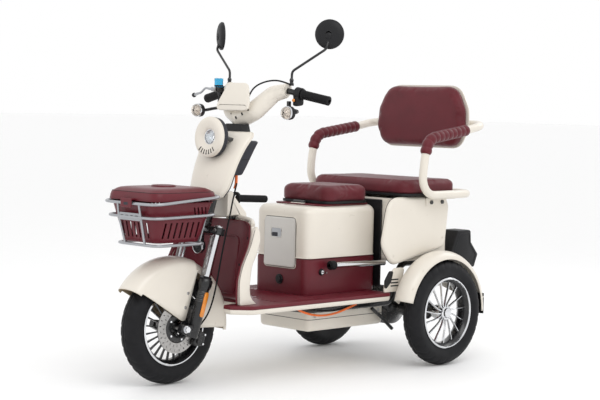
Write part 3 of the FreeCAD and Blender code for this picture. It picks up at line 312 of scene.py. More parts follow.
def carve(piece, shape):
    """Cut a closed shape (millimetres) out of a piece and keep its material."""
    surface = piece.data.materials[0]
    mesh = bpy.data.meshes.new("cutter")
    mesh.from_pydata([at(v) for v in shape[0]], [], shape[1])
    tidy = bmesh.new()
    tidy.from_mesh(mesh)
    bmesh.ops.recalc_face_normals(tidy, faces=tidy.faces)
    tidy.to_mesh(mesh)
    tidy.free()
    tool = bpy.data.objects.new("cutter", mesh)
    bpy.context.collection.objects.link(tool)
    step = piece.modifiers.new("holes", "BOOLEAN")
    step.operation = "DIFFERENCE"
    step.solver = "EXACT"
    step.use_self = True
    step.object = tool
    deps = bpy.context.evaluated_depsgraph_get()
    carved = bpy.data.meshes.new_from_object(piece.evaluated_get(deps))
    piece.modifiers.clear()
    piece.data = carved
    if not carved.materials:
        carved.materials.append(surface)
    carved.shade_smooth()
    carved.set_sharp_from_angle(angle=SHARP_ANGLE)
    bpy.data.objects.remove(tool)


def grid(rows, count, endless, looped=True):
    """Faces between rows of count points; the rows, and each row's ends, may join up."""
    faces = []
    for i in range(rows if endless else rows - 1):
        here, there = (i * count, (i + 1) % rows * count)
        for j in range(count if looped else count - 1):
            k = (j + 1) % count
            faces.append((here + j, here + k, there + k, there + j))
    return faces


def loft(rings, closed=True, cap=True):
    """Vertices and faces joining rings of equal count; closed rings loop round."""
    count = len(rings[0])
    faces = grid(len(rings), count, False, closed)
    if cap and closed:
        last = (len(rings) - 1) * count
        faces += [tuple(range(count))[::-1], tuple(range(last, last + count))]
    return ([tuple(v) for ring in rings for v in ring], faces)


def join_shapes(*shapes):
    """One vertex and face list from several."""
    verts, faces = ([], [])
    for more_verts, more_faces in shapes:
        shift = len(verts)
        verts += more_verts
        faces += [tuple((i + shift for i in face)) for face in more_faces]
    return (verts, faces)


def frame_along(direction, hint=Vector((0, 0, 1))):
    """Two unit vectors square to a direction."""
    direction = Vector(direction).normalized()
    if abs(direction.dot(hint)) > 0.97:
        hint = Vector((0, 1, 0))
    side = direction.cross(hint).normalized()
    return (side, side.cross(direction).normalized())


def running_lengths(pts):
    """Length along a line at each of its points."""
    lengths = [0]
    for a, b in zip(pts, pts[1:]):
        lengths.append(lengths[-1] + (b - a).length)
    return lengths


def smooth_route(points, steps=6):
    """Catmull-Rom points through a list of 3-D points."""
    pts = [Vector(p) for p in points]
    ends = [pts[0] * 2 - pts[1], *pts, pts[-1] * 2 - pts[-2]]
    out = []
    for i in range(1, len(ends) - 2):
        a, b, c, d = ends[i - 1:i + 3]
        for k in range(steps):
            u = k / steps
            out.append((b * 2 + (c - a) * u + (a * 2 - b * 5 + c * 4 - d) * u * u
                + (b * 3 - a - c * 3 + d) * u ** 3) / 2)
    out.append(pts[-1])
    return out


def bend_corner(before, here, after, radius, share, steps, least=0.0):
    """Points of a curved corner that ends within a share of the shorter leg."""
    before, after = (before - here, after - here)
    room = share * min(before.length, after.length)
    before.normalize()
    after.normalize()
    half = before.angle(after) / 2
    reach = min(radius / max(math.tan(half), least), room)
    start, end = (here + before * reach, here + after * reach)
    return [start * (1 - u) ** 2 + here * 2 * u * (1 - u) + end * u * u
        for u in (k / steps for k in range(steps + 1))]


def bent_route(points, bend, steps=8):
    """Straight runs with round corners of one radius."""
    pts = [Vector(p) for p in points]
    out = [pts[0]]
    for before, here, after in zip(pts, pts[1:], pts[2:]):
        out += bend_corner(before, here, after, bend, 0.48, steps, 0.01)
    out.append(pts[-1])
    return out


def round_ring(here, side, up, size, sides):
    """Regular ring of points about a point, in the plane of two unit vectors."""
    return [here + (side * math.cos(TAU * k / sides) + up * math.sin(TAU * k / sides)) * size
        for k in range(sides)]


def box_ring(low_u, low_v, high_u, high_v, radius, steps=6):
    """Rounded rectangle between two corners, as a 2-D ring."""
    return corner_ring([(low_u, low_v, radius), (high_u, low_v, radius), (high_u, high_v, radius),
        (low_u, high_v, radius)], steps)


def stack(outline, levels, axis="z", side=1):
    """Copies of a 2-D outline at levels along an axis: a distance, or (distance, inset)."""
    rings = []
    for level in levels:
        w, ring = (level, outline)
        if isinstance(level, tuple):
            w, ring = (level[0], shrink_ring(outline, level[1]))
        rings.append([{"x": (side * w, u, v), "y": (u, w, v), "z": (u, v, w)}[axis]
            for u, v in ring])
    return rings


def sweep(route, radius, sides=16):
    """Round tube along points; the radius may be a function of the share of length."""
    pts = [Vector(p) for p in route]
    lengths = running_lengths(pts)
    side, up = frame_along(pts[1] - pts[0])
    rings = []
    for i, here in enumerate(pts):
        ahead = pts[min(i + 1, len(pts) - 1)] - pts[max(i - 1, 0)]
        ahead.normalize()
        side = (side - ahead * side.dot(ahead)).normalized()
        up = ahead.cross(side)
        size = radius(lengths[i] / lengths[-1]) if callable(radius) else radius
        rings.append(round_ring(here, side, up, size, sides))
    return loft(rings)


def tube(name, route, radius, surface, body, sides=16, **options):
    """Swept round tube as a piece."""
    return add(name, sweep(route, radius, sides), surface, body, **options)


def lathe(profile, centre, axis, steps=64):
    """Turned shape from (radius, along) points about an axis through a centre."""
    axis = Vector(axis).normalized()
    side, up = frame_along(axis)
    rings = []
    for i in range(steps):
        turn = TAU * i / steps
        out = side * math.cos(turn) + up * math.sin(turn)
        rings.append([Vector(centre) + out * r + axis * a for r, a in profile])
    return ([tuple(v) for ring in rings for v in ring], grid(steps, len(profile), True))


def rod(start, end, radius, sides=20, radius_end=None):
    """Straight bar between two points."""
    start, end = (Vector(start), Vector(end))
    side, up = frame_along(end - start)
    rings = []
    for here, size in ((start, radius), (end, radius if radius_end is None else radius_end)):
        rings.append(round_ring(here, side, up, size, sides))
    return loft(rings)


def block(low, high):
    """Box between two corners."""
    (x0, y0, z0), (x1, y1, z1) = (low, high)
    verts = [(x, y, z) for x in (x0, x1) for y in (y0, y1) for z in (z0, z1)]
    faces = [(0, 1, 3, 2), (4, 6, 7, 5), (0, 4, 5, 1), (2, 3, 7, 6), (0, 2, 6, 4), (1, 5, 7, 3)]
    return (verts, faces)


def corner_ring(points, steps=6):
    """Closed 2-D ring from corners (u, v, radius), with arcs at the corners."""
    out = []
    for i, (u, v, radius) in enumerate(points):
        before, after = (Vector(points[i - 1][:2]), Vector(points[(i + 1) % len(points)][:2]))
        out += bend_corner(before, Vector((u, v)), after, radius, 0.49, steps)
    return [(p.x, p.y) for p in out]


def shrink_ring(ring, inset):
    """Ring moved inward by a distance along its corners' bisectors."""
    count = len(ring)
    area = sum((ring[i][0] * ring[(i + 1) % count][1] - ring[(i + 1) % count][0] * ring[i][1]
        for i in range(count)))
    way = 1 if area > 0 else -1
    out = []
    for i in range(count):
        a, b, c = (Vector(ring[i - 1]), Vector(ring[i]), Vector(ring[(i + 1) % count]))
        edge_in, edge_out = (b - a, c - b)
        normal = Vector((-(edge_in.y + edge_out.y), edge_in.x + edge_out.x)) * way
        normal.normalize()
        out.append(tuple(b + normal * inset))
    return out


def puffed(ring, place, depth, edge, crown, surface_steps=5):
    """Pillow-like panel from a 2-D ring.

    place(u, v, w) gives the 3-D point at height w above the panel's back; the edge
    rounds over by edge and the middle rises by crown above the depth.
    """
    rings = []
    middle = (sum((p[0] for p in ring)) / len(ring), sum((p[1] for p in ring)) / len(ring))
    rings.append([place(u, v, 0) for u, v in shrink_ring(ring, edge * 0.35)])
    rings.append([place(u, v, edge * 0.35) for u, v in ring])
    rings.append([place(u, v, depth - edge) for u, v in ring])
    for k in range(1, surface_steps + 1):
        turn = math.pi / 2 * k / surface_steps
        inner = shrink_ring(ring, edge * (1 - math.cos(turn)))
        height = depth - edge + edge * math.sin(turn)
        rings.append([place(u, v, height) for u, v in inner])
    base_ring = shrink_ring(ring, edge)
    for share in (0.85, 0.65, 0.4, 0.15):
        rise = crown * (1 - share ** 2)
        rings.append([place(middle[0] + (u - middle[0]) * share,
            middle[1] + (v - middle[1]) * share, depth + rise) for u, v in base_ring])
    return loft(rings)


# ---------------------------------------------------------------- wheels
TREAD_HALF_WIDTH, CARCASS_RADIUS = (39.4, 169)
CROWN_RISE, WALL_DROP, WALL_TUCK = (35.5, 52, 0.25)
SKIRT_ANGLE = 128
TYRE_STEPS, GROOVES = (240, 30)
GROOVE_DEPTH, GROOVE_SHARE, GROOVE_LEAN = (3.4, 0.19, 0.9)
GROOVE_FROM, GROOVE_TO, GROOVE_FOOT = (0.22, 0.97, 172)
RING_DEPTH, RING_SHARE, RING_FOOT = (2.4, 0.09, 190)


def tyre(name, centre, body, node):
    """Scooter tyre: rounded carcass with curved grooves cut into tread and shoulders."""
    profile = []
    for k in range(41):
        turn = math.radians(-SKIRT_ANGLE + 2 * SKIRT_ANGLE * k / 40)
        across = TREAD_HALF_WIDTH * math.sin(turn)
        rise = math.cos(turn)
        radius = CARCASS_RADIUS + (CROWN_RISE * rise if rise > 0 else WALL_DROP * rise)
        profile.append((radius, across * (1 if rise > 0 else 1 - WALL_TUCK * rise * rise)))
    rings = []
    for i in range(TYRE_STEPS):
        turn = TAU * i / TYRE_STEPS
        ring = []
        for radius, across in profile:
            share = abs(across) / TREAD_HALF_WIDTH
            phase = turn * GROOVES / TAU + share * GROOVE_LEAN + (0.5 if across > 0 else 0)
            near = abs(phase % 1 - 0.5)
            depth = 0
            if radius > GROOVE_FOOT and GROOVE_FROM < share < GROOVE_TO:
                depth = GROOVE_DEPTH * max(0, 1 - near / GROOVE_SHARE)
            if share < RING_SHARE and radius > RING_FOOT:
                depth = RING_DEPTH
            size = radius - depth
            ring.append((centre[0] + across, centre[1] + size * math.sin(turn),
                centre[2] + size * math.cos(turn)))
        rings.append(ring)
    verts = [v for ring in rings for v in ring]
    add(name, (verts, grid(TYRE_STEPS, len(profile), True)), tyre_rubber, body, node=node)


SPOKE_ROOT, SPOKE_LENGTH = (24, 96)
SPOKE_HALF_WIDTH, SPOKE_WAIST = (3.7, 1.5)
STUDS, STUD_CIRCLE = (5, 24)


def rim(name, centre, side, body, node, spoke_surface, twist, count):
    """Cast wheel: stepped polished lip, dark barrel, thin swept spokes, stepped hub."""
    out = Vector((side, 0, 0))
    lip = [(138, 33), (135, 35), (131.5, 34.4), (130, 31), (131, 28), (138, 29)]
    shapes = [lathe([(r, a) for r, a in lip], centre, out, 96), lathe([(r, -a) for r, a in lip],
        centre, out, 96)]
    add(name + "_lips", shapes, chrome, body, node=node)
    barrel = [(130.4, 31), (126, 26), (121, 21), (117, 10), (117, -10), (121, -21), (126, -26),
        (130.4, -31), (134, -27), (124, -14), (124, 14), (134, 27)]
    add(name + "_barrel", lathe(barrel, centre, out, 96), black_paint, body)
    spokes = []
    for i in range(count):
        base = TAU * i / count
        rings = []
        for share in (0, 0.25, 0.5, 0.75, 1.0):
            radius = SPOKE_ROOT + share * SPOKE_LENGTH
            turn = base + twist * math.sin(share * math.pi * 0.5)
            width = SPOKE_HALF_WIDTH - SPOKE_WAIST * math.sin(share * math.pi)
            along = Vector((0, math.sin(turn), math.cos(turn)))
            across = Vector((0, math.cos(turn), -math.sin(turn)))
            mid = Vector(centre) + along * radius + out * (16 - 4 * share)
            rings.append([mid + across * (width * c) + out * (5 * s)
                for c, s in ((-1, -1), (-0.8, 0.7), (0, 1), (0.8, 0.7), (1, -1))])
        spokes.append(loft(rings))
    add(name + "_spokes", spokes, spoke_surface, body, bevel=0.6)
    hub = [(0, -34), (26, -34), (30, -20), (30, 14), (27, 24), (20, 27), (18, 33), (12, 35),
        (0, 35)]
    add(name + "_hub", lathe(hub, centre, out, 48), spoke_surface, body)
    studs = []
    for i in range(STUDS):
        turn = TAU * i / STUDS
        place = Vector(centre) + Vector((0, math.sin(turn), math.cos(turn))) * STUD_CIRCLE
        studs.append(rod(place + out * 22, place + out * 29, 3.4, 6))
    add(name + "_studs", studs, chrome, body)


def valve(name, centre, side, body):
    """Rubber valve stem inside the rim."""
    start = Vector(centre) + Vector((0, 0.5, -0.866)) * 119 + Vector((side * 8, 0, 0))
    end = start - Vector((0, 0.5, -0.866)) * 16 + Vector((side * 14, 0, 0))
    tube(name, [start, end], 3, black_rubber, body, sides=10)


FRONT_CENTRE = (0, 0, WHEEL_HEIGHT)
wheels = [("front", FRONT_CENTRE, 1, "front_wheel", "front_tyre", "front_rim"),
    ("rear_left", (HALF_TRACK, WHEELBASE, WHEEL_HEIGHT), 1, "rear_wheel_left", "rear_tyre_left",
    "rear_rim_left"), ("rear_right", (-HALF_TRACK, WHEELBASE, WHEEL_HEIGHT), -1,
    "rear_wheel_right", "rear_tyre_right", "rear_rim_right")]
for tag, centre, side, body, tyre_node, rim_node in wheels:
    tyre(tag + "_tyre_look", centre, body, tyre_node)
    if tag == "front":
        rim(tag + "_rim_look", centre, side, body, rim_node, black_paint, 0.12, 24)
    else:
        rim(tag + "_rim_look", centre, side, body, rim_node, chrome, 0.22, 15)
    valve(tag + "_valve", centre, side, body)
for side, body in ((1, "rear_wheel_left"), (-1, "rear_wheel_right")):
    add(f'half_shaft_{body}', rod((side * 288, WHEELBASE, WHEEL_HEIGHT), (side * 150, WHEELBASE,
        WHEEL_HEIGHT), 11.8), steel, body)


def brake_disc():
    """Drilled disc and its black carrier with bolts."""
    steps = 144
    rings_verts, faces = ([], [])
    radii = (54, 60, 68, 76, 84, 90.5)
    for face_x in (50.0, 46.2):
        for radius in radii:
            for i in range(steps):
                turn = TAU * i / steps
                rings_verts.append((face_x, radius * math.sin(turn),
                    WHEEL_HEIGHT + radius * math.cos(turn)))
    layer = steps * len(radii)
    for i in range(steps):
        nxt = (i + 1) % steps
        for j in range(len(radii) - 1):
            hole = j in (1, 3) and i % 6 in ((0,) if j == 1 else (3,))
            quad = [j * steps + i, j * steps + nxt, (j + 1) * steps + nxt, (j + 1) * steps + i]
            if not hole:
                faces.append(tuple(quad))
                faces.append(tuple((layer + q for q in reversed(quad))))
            else:
                for a, b in zip(quad, quad[1:] + quad[:1]):
                    faces.append((a, b, layer + b, layer + a))
        for j in (0, len(radii) - 1):
            a, b = (j * steps + i, j * steps + nxt)
            faces.append((a, b, layer + b, layer + a))
    add("brake_disc_look", (rings_verts, faces), steel, "front_wheel", node="front_brake_disc")
    carrier = [(30, 36), (56, 38), (57, 44), (50, 52), (34, 54), (30, 52)]
    add("disc_carrier", lathe(carrier, FRONT_CENTRE, (1, 0, 0), 60), black_paint, "front_wheel")
    bolts = []
    for i in range(5):
        turn = TAU * i / 5 + 0.3
        place = Vector(FRONT_CENTRE) + Vector((0, math.sin(turn), math.cos(turn))) * 43
        bolts.append(rod(place + Vector((50, 0, 0)), place + Vector((57, 0, 0)), 4.4, 6))
    add("disc_bolts", bolts, chrome, "front_wheel")


brake_disc()


# ---------------------------------------------------------------- mudguards
def resample(points, count):
    """Evenly spaced points along a polyline."""
    pts = [Vector(p) for p in points]
    lengths = running_lengths(pts)
    out = []
    for i in range(count):
        goal = lengths[-1] * i / (count - 1)
        k = 0
        while k < len(pts) - 2 and lengths[k + 1] < goal:
            k += 1
        span = max(lengths[k + 1] - lengths[k], 1e-06)
        out.append(pts[k].lerp(pts[k + 1], (goal - lengths[k]) / span))
    return out


def polar(radius, degrees):
    """(back, up) from the axle at an angle behind the top of the wheel."""
    turn = math.radians(degrees)
    return Vector((radius * math.sin(turn), radius * math.cos(turn)))


GUARD_SKIN, GUARD_WALL, GUARD_STATIONS = (2.6, 1.4, 49)
REAR_GUARD_X = 305


def guard_part(name, centre, radius, half_width, drop, start, end, outer_edge, inner_edge, side,
        body, node=None, lining=None):
    """Domed mudguard: crowned band between two angles, with side walls down to edges."""
    outer = resample(outer_edge, GUARD_STATIONS)
    inner = resample(inner_edge, GUARD_STATIONS)
    for layer in (0, 1):
        skin = GUARD_SKIN * layer
        rings = []
        for i in range(GUARD_STATIONS):
            angle = start + (end - start) * i / (GUARD_STATIONS - 1)
            ring = []
            shoulder = polar(radius - drop, angle)
            for k in range(5):
                spot = outer[i].lerp(shoulder, k / 5)
                ring.append((half_width - skin, spot))
            for k in range(17):
                u = math.pi * k / 16
                ring.append(((half_width - skin) * math.cos(u),
                    polar(radius - drop + (drop - skin) * math.sin(u), angle)))
            for k in range(5):
                spot = shoulder.lerp(inner[i], (k + 1) / 5)
                ring.append((-half_width + skin, spot))
            rings.append([(centre[0] + side * x, centre[1] + spot.x, centre[2] + spot.y)
                for x, spot in ring])
        verts, faces = loft(rings, closed=False, cap=False)
        if layer:
            add(name + "_lining", (verts, faces), lining or cream_gloss, body,
                thickness=GUARD_WALL)
        else:
            add(name, (verts, faces), cream_gloss, body, node=node, thickness=GUARD_WALL)


def front_mudguard():
    """Deep cream guard in two shells, in front of and behind the fork legs."""
    drop = 36
    fore_edge = [polar(216, -54), (-168, 134), (-122, 108), (-60, 70), (0, 32), (14, 24),
        (26, 26), (34, 46), (84, 205)]
    aft_edge = [(150, 165), (96, 40), (84, 2), (96, -6), (216, -12), (226, -4)]
    guard_part("front_guard_fore", FRONT_CENTRE, 252, 59, drop, -54, 21, fore_edge, fore_edge, 1,
        "fork_lower", node="front_fender", lining=tan_lining)
    guard_part("front_guard_aft", FRONT_CENTRE, 250, 56, drop, 40, 96, aft_edge, aft_edge, 1,
        "fork_lower", lining=tan_lining)
    bridge = [polar(216, 20), polar(216, 42)]
    guard_part("front_guard_bridge", FRONT_CENTRE, 249, 47, drop, 20, 42, bridge, bridge, 1,
        "fork_lower", lining=tan_lining)
    screws = []
    for y, z in ((38, 122), (26, 72)):
        place = Vector((58.5, y, WHEEL_HEIGHT + z))
        screws.append(lathe([(0, 0), (6, 0), (6, 1.6), (3, 3), (0, 3)], place, (1, 0, 0), 24))
    add("guard_screws", screws, steel, "fork_lower")


def rear_mudguards():
    """Rounded rear guards with a deep inner arch, a vent and a rubber flap."""
    for side, tag in SIDES:
        centre = (side * REAR_GUARD_X, WHEELBASE, WHEEL_HEIGHT)
        outer = [polar(211 + 0.5 * abs(a) / 10, a) for a in range(-76, 93, 6)]
        inner = [polar(190, -78), (-150, 90), (-60, 96), (60, 96), (150, 62), polar(210, 92)]
        guard_part("rear_guard_" + tag, centre, 240, 45, 30, -76, 92, outer, inner, side,
            "chassis", node=left_only(side, "rear_fenders"))
        flap_rings = []
        for k in range(7):
            share = k / 6
            y = WHEELBASE + 226 + 3 * share - 2 * share * share
            z = WHEEL_HEIGHT + 62 - 82 * share
            flap_rings.append([(side * REAR_GUARD_X + x, y - 6 * (1 - abs(x) / 42), z)
                for x in (-40, -20, 0, 20, 40)])
        add("mud_flap_" + tag, loft(flap_rings, closed=False, cap=False), black_rubber,
            thickness=3, bevel=0.8)
        rivets = []
        for angle in (-62, -40, 78):
            place = polar(226, angle)
            spot = Vector((side * 346, WHEELBASE + place.x, WHEEL_HEIGHT + place.y))
            rivets.append(lathe([(0, 0), (3.2, 0), (2.6, 1.4), (0, 2)], spot, (side, 0, 0), 16))
        add("guard_rivets_" + tag, rivets, cream_paint)
        vent = corner_ring([(868, 300, 10), (900, 330, 14), (912, 372, 16), (892, 372, 12),
            (866, 336, 10)])
        add("arch_vent_" + tag, loft([[(side * 243, y, z) for y, z in vent], [(side * 249, y, z)
            for y, z in vent]]), dark_gap)


front_mudguard()
rear_mudguards()

# ---------------------------------------------------------------- fork
LEG_X = 80
COILS, COIL_STEPS, COIL_RADIUS, COIL_WIRE = (30, 14, 5.6, 1.1)
SPRING_FOOT, SPRING_HEIGHT, SPRING_Y = (-180, 142, -21.6)


def fork_details():
    """Sliders, seals, springs, a side reflector and the front axle."""
    for side, tag in SIDES:
        x = side * LEG_X
        slider = [(0, -408), (17, -408), (21, -400), (21, -230), (24, -222), (25.5, -214),
            (25.5, -198), (22, -193), (15, -193), (15, -300), (0, -300)]
        centre = on_axis(x, 0, 0)
        add("slider_look_" + tag, lathe(slider, centre, AXIS_UP, 48), black_paint, "fork_lower",
            node=left_only(side, "fork_sliders"))
        lug = [on_axis(x + side * dx, dy, dz) for dx in (-14, 12)
            for dy, dz in ((-64, -372), (-64, -400), (-8, -410), (6, -362))]
        add("axle_lug_" + tag, loft([lug[:4], lug[4:]]), black_paint, "fork_lower", bevel=4)
        ribs = [lathe([(21, -240 - 14 * k), (22.4, -243 - 14 * k), (22.4, -247 - 14 * k),
            (21, -250 - 14 * k)], centre, AXIS_UP, 40) for k in range(3)]
        add("slider_ribs_" + tag, ribs, black_paint, "fork_lower")
        seal = [(14.2, -194), (20, -194), (19, -186), (15, -184), (14.2, -186)]
        add("slider_seal_" + tag, lathe(seal, centre, AXIS_UP, 40), black_rubber, "fork_lower")
        coil = []
        for k in range(COILS * COIL_STEPS + 1):
            turn = TAU * k / COIL_STEPS
            height = SPRING_FOOT + SPRING_HEIGHT * k / (COILS * COIL_STEPS)
            coil.append(on_axis(x + COIL_RADIUS * math.cos(turn),
                SPRING_Y + COIL_RADIUS * math.sin(turn), height))
        spring = tube("fork_spring_" + tag, coil, COIL_WIRE, steel, "fork_lower", sides=6)
        tuple(at(on_axis(x, 0, -184)))
        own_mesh(spring)
        seat = [(0, -192), (8, -192), (8, -184), (0, -184)]
        add("spring_seat_" + tag, lathe(seat, on_axis(x, SPRING_Y, 0), AXIS_UP, 30), black_paint,
            "fork_lower")
    plate = box_ring(-9, -330, 9, -240, 8)
    rings = []
    for out_x, inset in ((102, 0), (104.5, 0), (106, 2)):
        rings.append([on_axis(out_x, u, v) for u, v in shrink_ring(plate, inset)])
    add("side_reflector", loft(rings), amber, "fork_lower")
    add("axle_nut", [rod((93, 0, WHEEL_HEIGHT), (99, 0, WHEEL_HEIGHT), 13, 24),
        rod((99, 0, WHEEL_HEIGHT), (109, 0, WHEEL_HEIGHT), 11, 6)], chrome, "fork_lower")
    add("front_axle_rod", rod((-100, 0, WHEEL_HEIGHT), (100, 0, WHEEL_HEIGHT), 6.9), steel,
        "fork_lower")


def caliper_look():
    """Two-piece caliper with its bridge, pistons bulging outboard and bolts."""
    base = on_axis(36, 22.5, -432)

    def spot(x, y, z):
        return base + Vector((x, 0, 0)) + AXIS_BACK * y + AXIS_UP * z
    outline = corner_ring([(0, 0, 12), (50, 6, 18), (50, 54, 18), (8, 62, 14)])
    halves = []
    for low, high in ((0, 9.5), (18.5, 34)):
        halves.append(loft([[spot(x, u, v) for u, v in shrink_ring(outline, inset)]
            for x, inset in ((low, 2), (low + 2, 0), (high - 3, 0), (high, 3))]))
    bridge = box_ring(34, 10, 49, 52, 6)
    halves.append(loft([[spot(x, u, v) for u, v in shrink_ring(bridge, 0)] for x in (9, 19)]))
    add("caliper_look", halves, black_paint, "fork_lower", node="brake_caliper", bevel=1.0)
    details = [rod(spot(34, 22, 20 + 24 * k), spot(39, 22, 20 + 24 * k), 9, 24) for k in (0, 1)]
    add("caliper_pistons", details, black_paint, "fork_lower", bevel=0.8)
    bolts = [rod(spot(34, 42, 14 + 34 * k), spot(39, 42, 14 + 34 * k), 4, 6) for k in (0, 1)]
    add("caliper_bolts", bolts, chrome, "fork_lower")


fork_details()
caliper_look()


# ---------------------------------------------------------------- column
def side_arc(half_width, edge_y, middle_y, z, count=25, inset=0.0, power=1.0):
    """Front skin line at one level, from left edge round the nose to the right edge."""
    ring = []
    for i in range(count):
        turn = math.pi * i / (count - 1)
        x = (half_width - inset) * math.cos(turn)
        y = edge_y - (edge_y - middle_y - inset) * math.sin(turn) ** power
        ring.append((x, y, z))
    return ring


def column_look():
    """Cream column shield with S-curved shoulders, its lips and the dark glove box."""
    stations = [(657, 64, 172, 142), (668, 78, 177, 144), (700, 99, 187, 156),
        (740, 105, 200, 171), (780, 109, 215, 188), (820, 113, 235, 206), (850, 118, 252, 220),
        (872, 122, 268, 233), (886, 120, 281, 245), (897, 110, 290, 257), (900, 98, 293, 266)]
    add("column_shield_look", loft([side_arc(w, e, m, z, power=0.75) for z, w, e, m in stations],
        closed=False, cap=False), cream_gloss, "steering", node="column_shield", thickness=3)
    for side, tag in SIDES:
        edge = [(side * (w + 0.5), e, z) for z, w, e, m in stations[1:-1]]
        tube("column_lip_" + tag, smooth_route(edge, 5), 2.6, cream_gloss, "steering", sides=10)
    levels = [(742.4, 68, 212, 292), (746, 71.6, 211, 296), (772, 77, 221, 309),
        (800, 81, 232, 322), (836, 85, 249, 341), (862, 87.8, 262, 356), (867.6, 85, 266, 350)]
    for side, tag in SIDES:
        strip = [(side * (w - 4), e + 6, z) for z, w, e, m in stations[1:7]]
        tube("column_strip_" + tag, smooth_route(strip, 5), 5, dark_plastic, "steering", sides=10)
    rings = []
    for z, half_width, front_y, rear_y in levels:
        rings.append([(x, y, z) for x, y in corner_ring([(-half_width, front_y, 8),
            (half_width, front_y, 8), (half_width - 6, rear_y, 30), (-half_width + 6, rear_y,
            30)], steps=8)])
    add("glove_box_look", loft(rings), dark_plastic, "steering", node="column_rear_cover",
        bevel=3)
    seam = [(x * 1.004, y, 800) for x, y in corner_ring([(-81, 232, 8), (81, 232, 8),
        (75, 322, 30), (-75, 322, 30)], steps=8)]
    tube("glove_box_seam", seam + seam[:1], 1.1, dark_gap, "steering", sides=6)
    for side, tag in SIDES:
        drop = [(side * 56, 262, 742), (side * 56, 262, 722), (side * 56, 260, 706),
            (side * 55, 256, 694)]
        tube("column_sleeve_" + tag, smooth_route(drop, 6), 5.5 if side > 0 else 4, orange_sleeve
            if side > 0 else black_rubber, "steering", sides=12)
    add("column_gap_fill",
        loft([[(x, y, 896) for x, y in corner_ring([(-84, 272, 20), (84, 272, 20), (60, 330, 20),
        (-60, 330, 20)])], [(x, y, 928) for x, y in corner_ring([(-52, 296, 20), (52, 296, 20),
        (46, 336, 20), (-46, 336, 20)])]]), dark_gap, "steering")


LAMP = Vector((0, 166, 881))
LAMP_AXIS = Vector((0, -0.9972, 0.075))


def headlight_look():
    """Round headlight: cream bell ring with a fan of slots, bowl, lens and dark can."""
    side_axis = Vector((1, 0, 0))
    up_axis = Vector((0, 0.075, 0.9972))
    ring = [(25, -17), (26, -14), (33, -8.5), (42, -4.6), (50, -2.6), (58, -1.5), (67, -1.8),
        (72, -5), (74, -11), (73.5, -19), (70, -20), (70, -12), (60, -6), (40, -12), (27, -20)]
    add("headlight_ring_look", lathe(ring, LAMP, LAMP_AXIS, 96), cream_gloss, "steering",
        node="headlight_housing")
    can = [(73.2, -19), (73.6, -22), (72, -38), (66, -44), (50, -46), (0, -46)]
    add("headlight_can_look", lathe(can, LAMP, LAMP_AXIS, 96), dark_plastic, "steering")
    bowl = [(25, -15.5), (23, -20), (16, -28), (8, -33), (0, -34)]
    add("headlight_reflector", lathe(bowl, LAMP, LAMP_AXIS, 72), chrome, "steering")
    lens = [(0, -8), (8, -8.4), (16, -10), (22, -12.6), (24.6, -15), (24.6, -17), (0, -17)]
    add("headlight_lens_look", lathe(lens, LAMP, LAMP_AXIS, 72), lamp_glass, "steering",
        node="headlight_lens")
    trim = [(24.2, -16.5), (25.2, -13.2), (27, -12.4), (28, -13), (26.4, -16.6)]
    add("headlight_trim", lathe(trim, LAMP, LAMP_AXIS, 72), chrome, "steering")
    slots = []
    for k in range(7):
        turn = math.radians(-90 + (k - 3) * 13)
        out = side_axis * math.cos(turn) + up_axis * math.sin(turn)
        across = LAMP_AXIS.cross(out)
        low, high = (LAMP + out * r for r in (47, 64))
        base = [low + across * 1.9, high + across * 2.7, high - across * 2.7, low - across * 1.9]
        slots.append(loft([[p + LAMP_AXIS * -5 for p in base],
            [p + LAMP_AXIS * -0.5 - (LAMP_AXIS * 1.6 if i in (0, 3) else Vector((0, 0, 0)))
            for i, p in enumerate(base)]]))
    add("headlight_slots", slots, dark_gap, "steering", bevel=0.6)
    arms = [rod((x, 196, 880), (x * 0.9, 250, 868), 8, 16) for x in (-62, 62)]
    add("headlight_brackets", arms, black_paint, "steering")


column_look()
headlight_look()

# ---------------------------------------------------------------- handlebar
BAR_OUT, BAR_BACK, BAR_DROP = (172, 39.2, 33.4)
BAR_START = Vector((150, 415, 1053))
BAR_DIRECTION = Vector((BAR_OUT, BAR_BACK, -BAR_DROP)).normalized()


def on_bar(x, side=1):
    """Point on the straight grip part of the bar at a sideways distance."""
    along = x - BAR_START.x
    return Vector((side * x, BAR_START.y + along * BAR_BACK / BAR_OUT,
        BAR_START.z - along * BAR_DROP / BAR_OUT))


def bar_axis(side):
    """Direction of the grip part of the bar, outward."""
    return Vector((side * BAR_DIRECTION.x, BAR_DIRECTION.y, BAR_DIRECTION.z))


def handlebar_look():
    bar = [(0, 330, 945), (70, 352, 990), (112, 388, 1040), (150, 415, 1053),
        (322, 454.2, 1019.6)]
    half = bent_route(bar, 30)
    whole = [(-x, y, z) for x, y, z in reversed([tuple(p) for p in half])][:-1] + [tuple(p)
        for p in half]
    tube("handlebar_look", whole, 11, black_paint, "steering", sides=24, node="handlebar")
    cover = bent_route([(0, 330, 945), (60, 344, 978), (112, 388, 1040), (148, 414.4, 1052)], 40)
    left = [tuple(p) for p in cover]
    both_ways = [(-x, y, z) for x, y, z in reversed(left)][:-1] + left

    def fatness(share):
        off = abs(share - 0.5) * 2
        return 35.6 if off < 0.55 else 35.6 - 9.5 * (off - 0.55) / 0.45
    add("handlebar_cover_look", sweep(both_ways, fatness, 40), cream_gloss, "steering",
        node="handlebar_cover", bevel=1.5)
    for side, tag in SIDES:
        end = on_bar(149, side)
        collar = [(11.2, -4), (27.5, -4), (29, 0), (28, 5), (20, 8), (11.2, 8)]
        add("cover_collar_" + tag, lathe(collar, end, bar_axis(side), 48), cream_gloss,
            "steering")
        screw = Vector((side * 78, 330, 985))
        add("cover_screw_" + tag, [lathe([(0, 0), (5.2, 0), (5.2, 1.5), (0, 1.5)], screw,
            (side * 0.35, -0.92, 0.2), 24)], dark_gap, "steering")


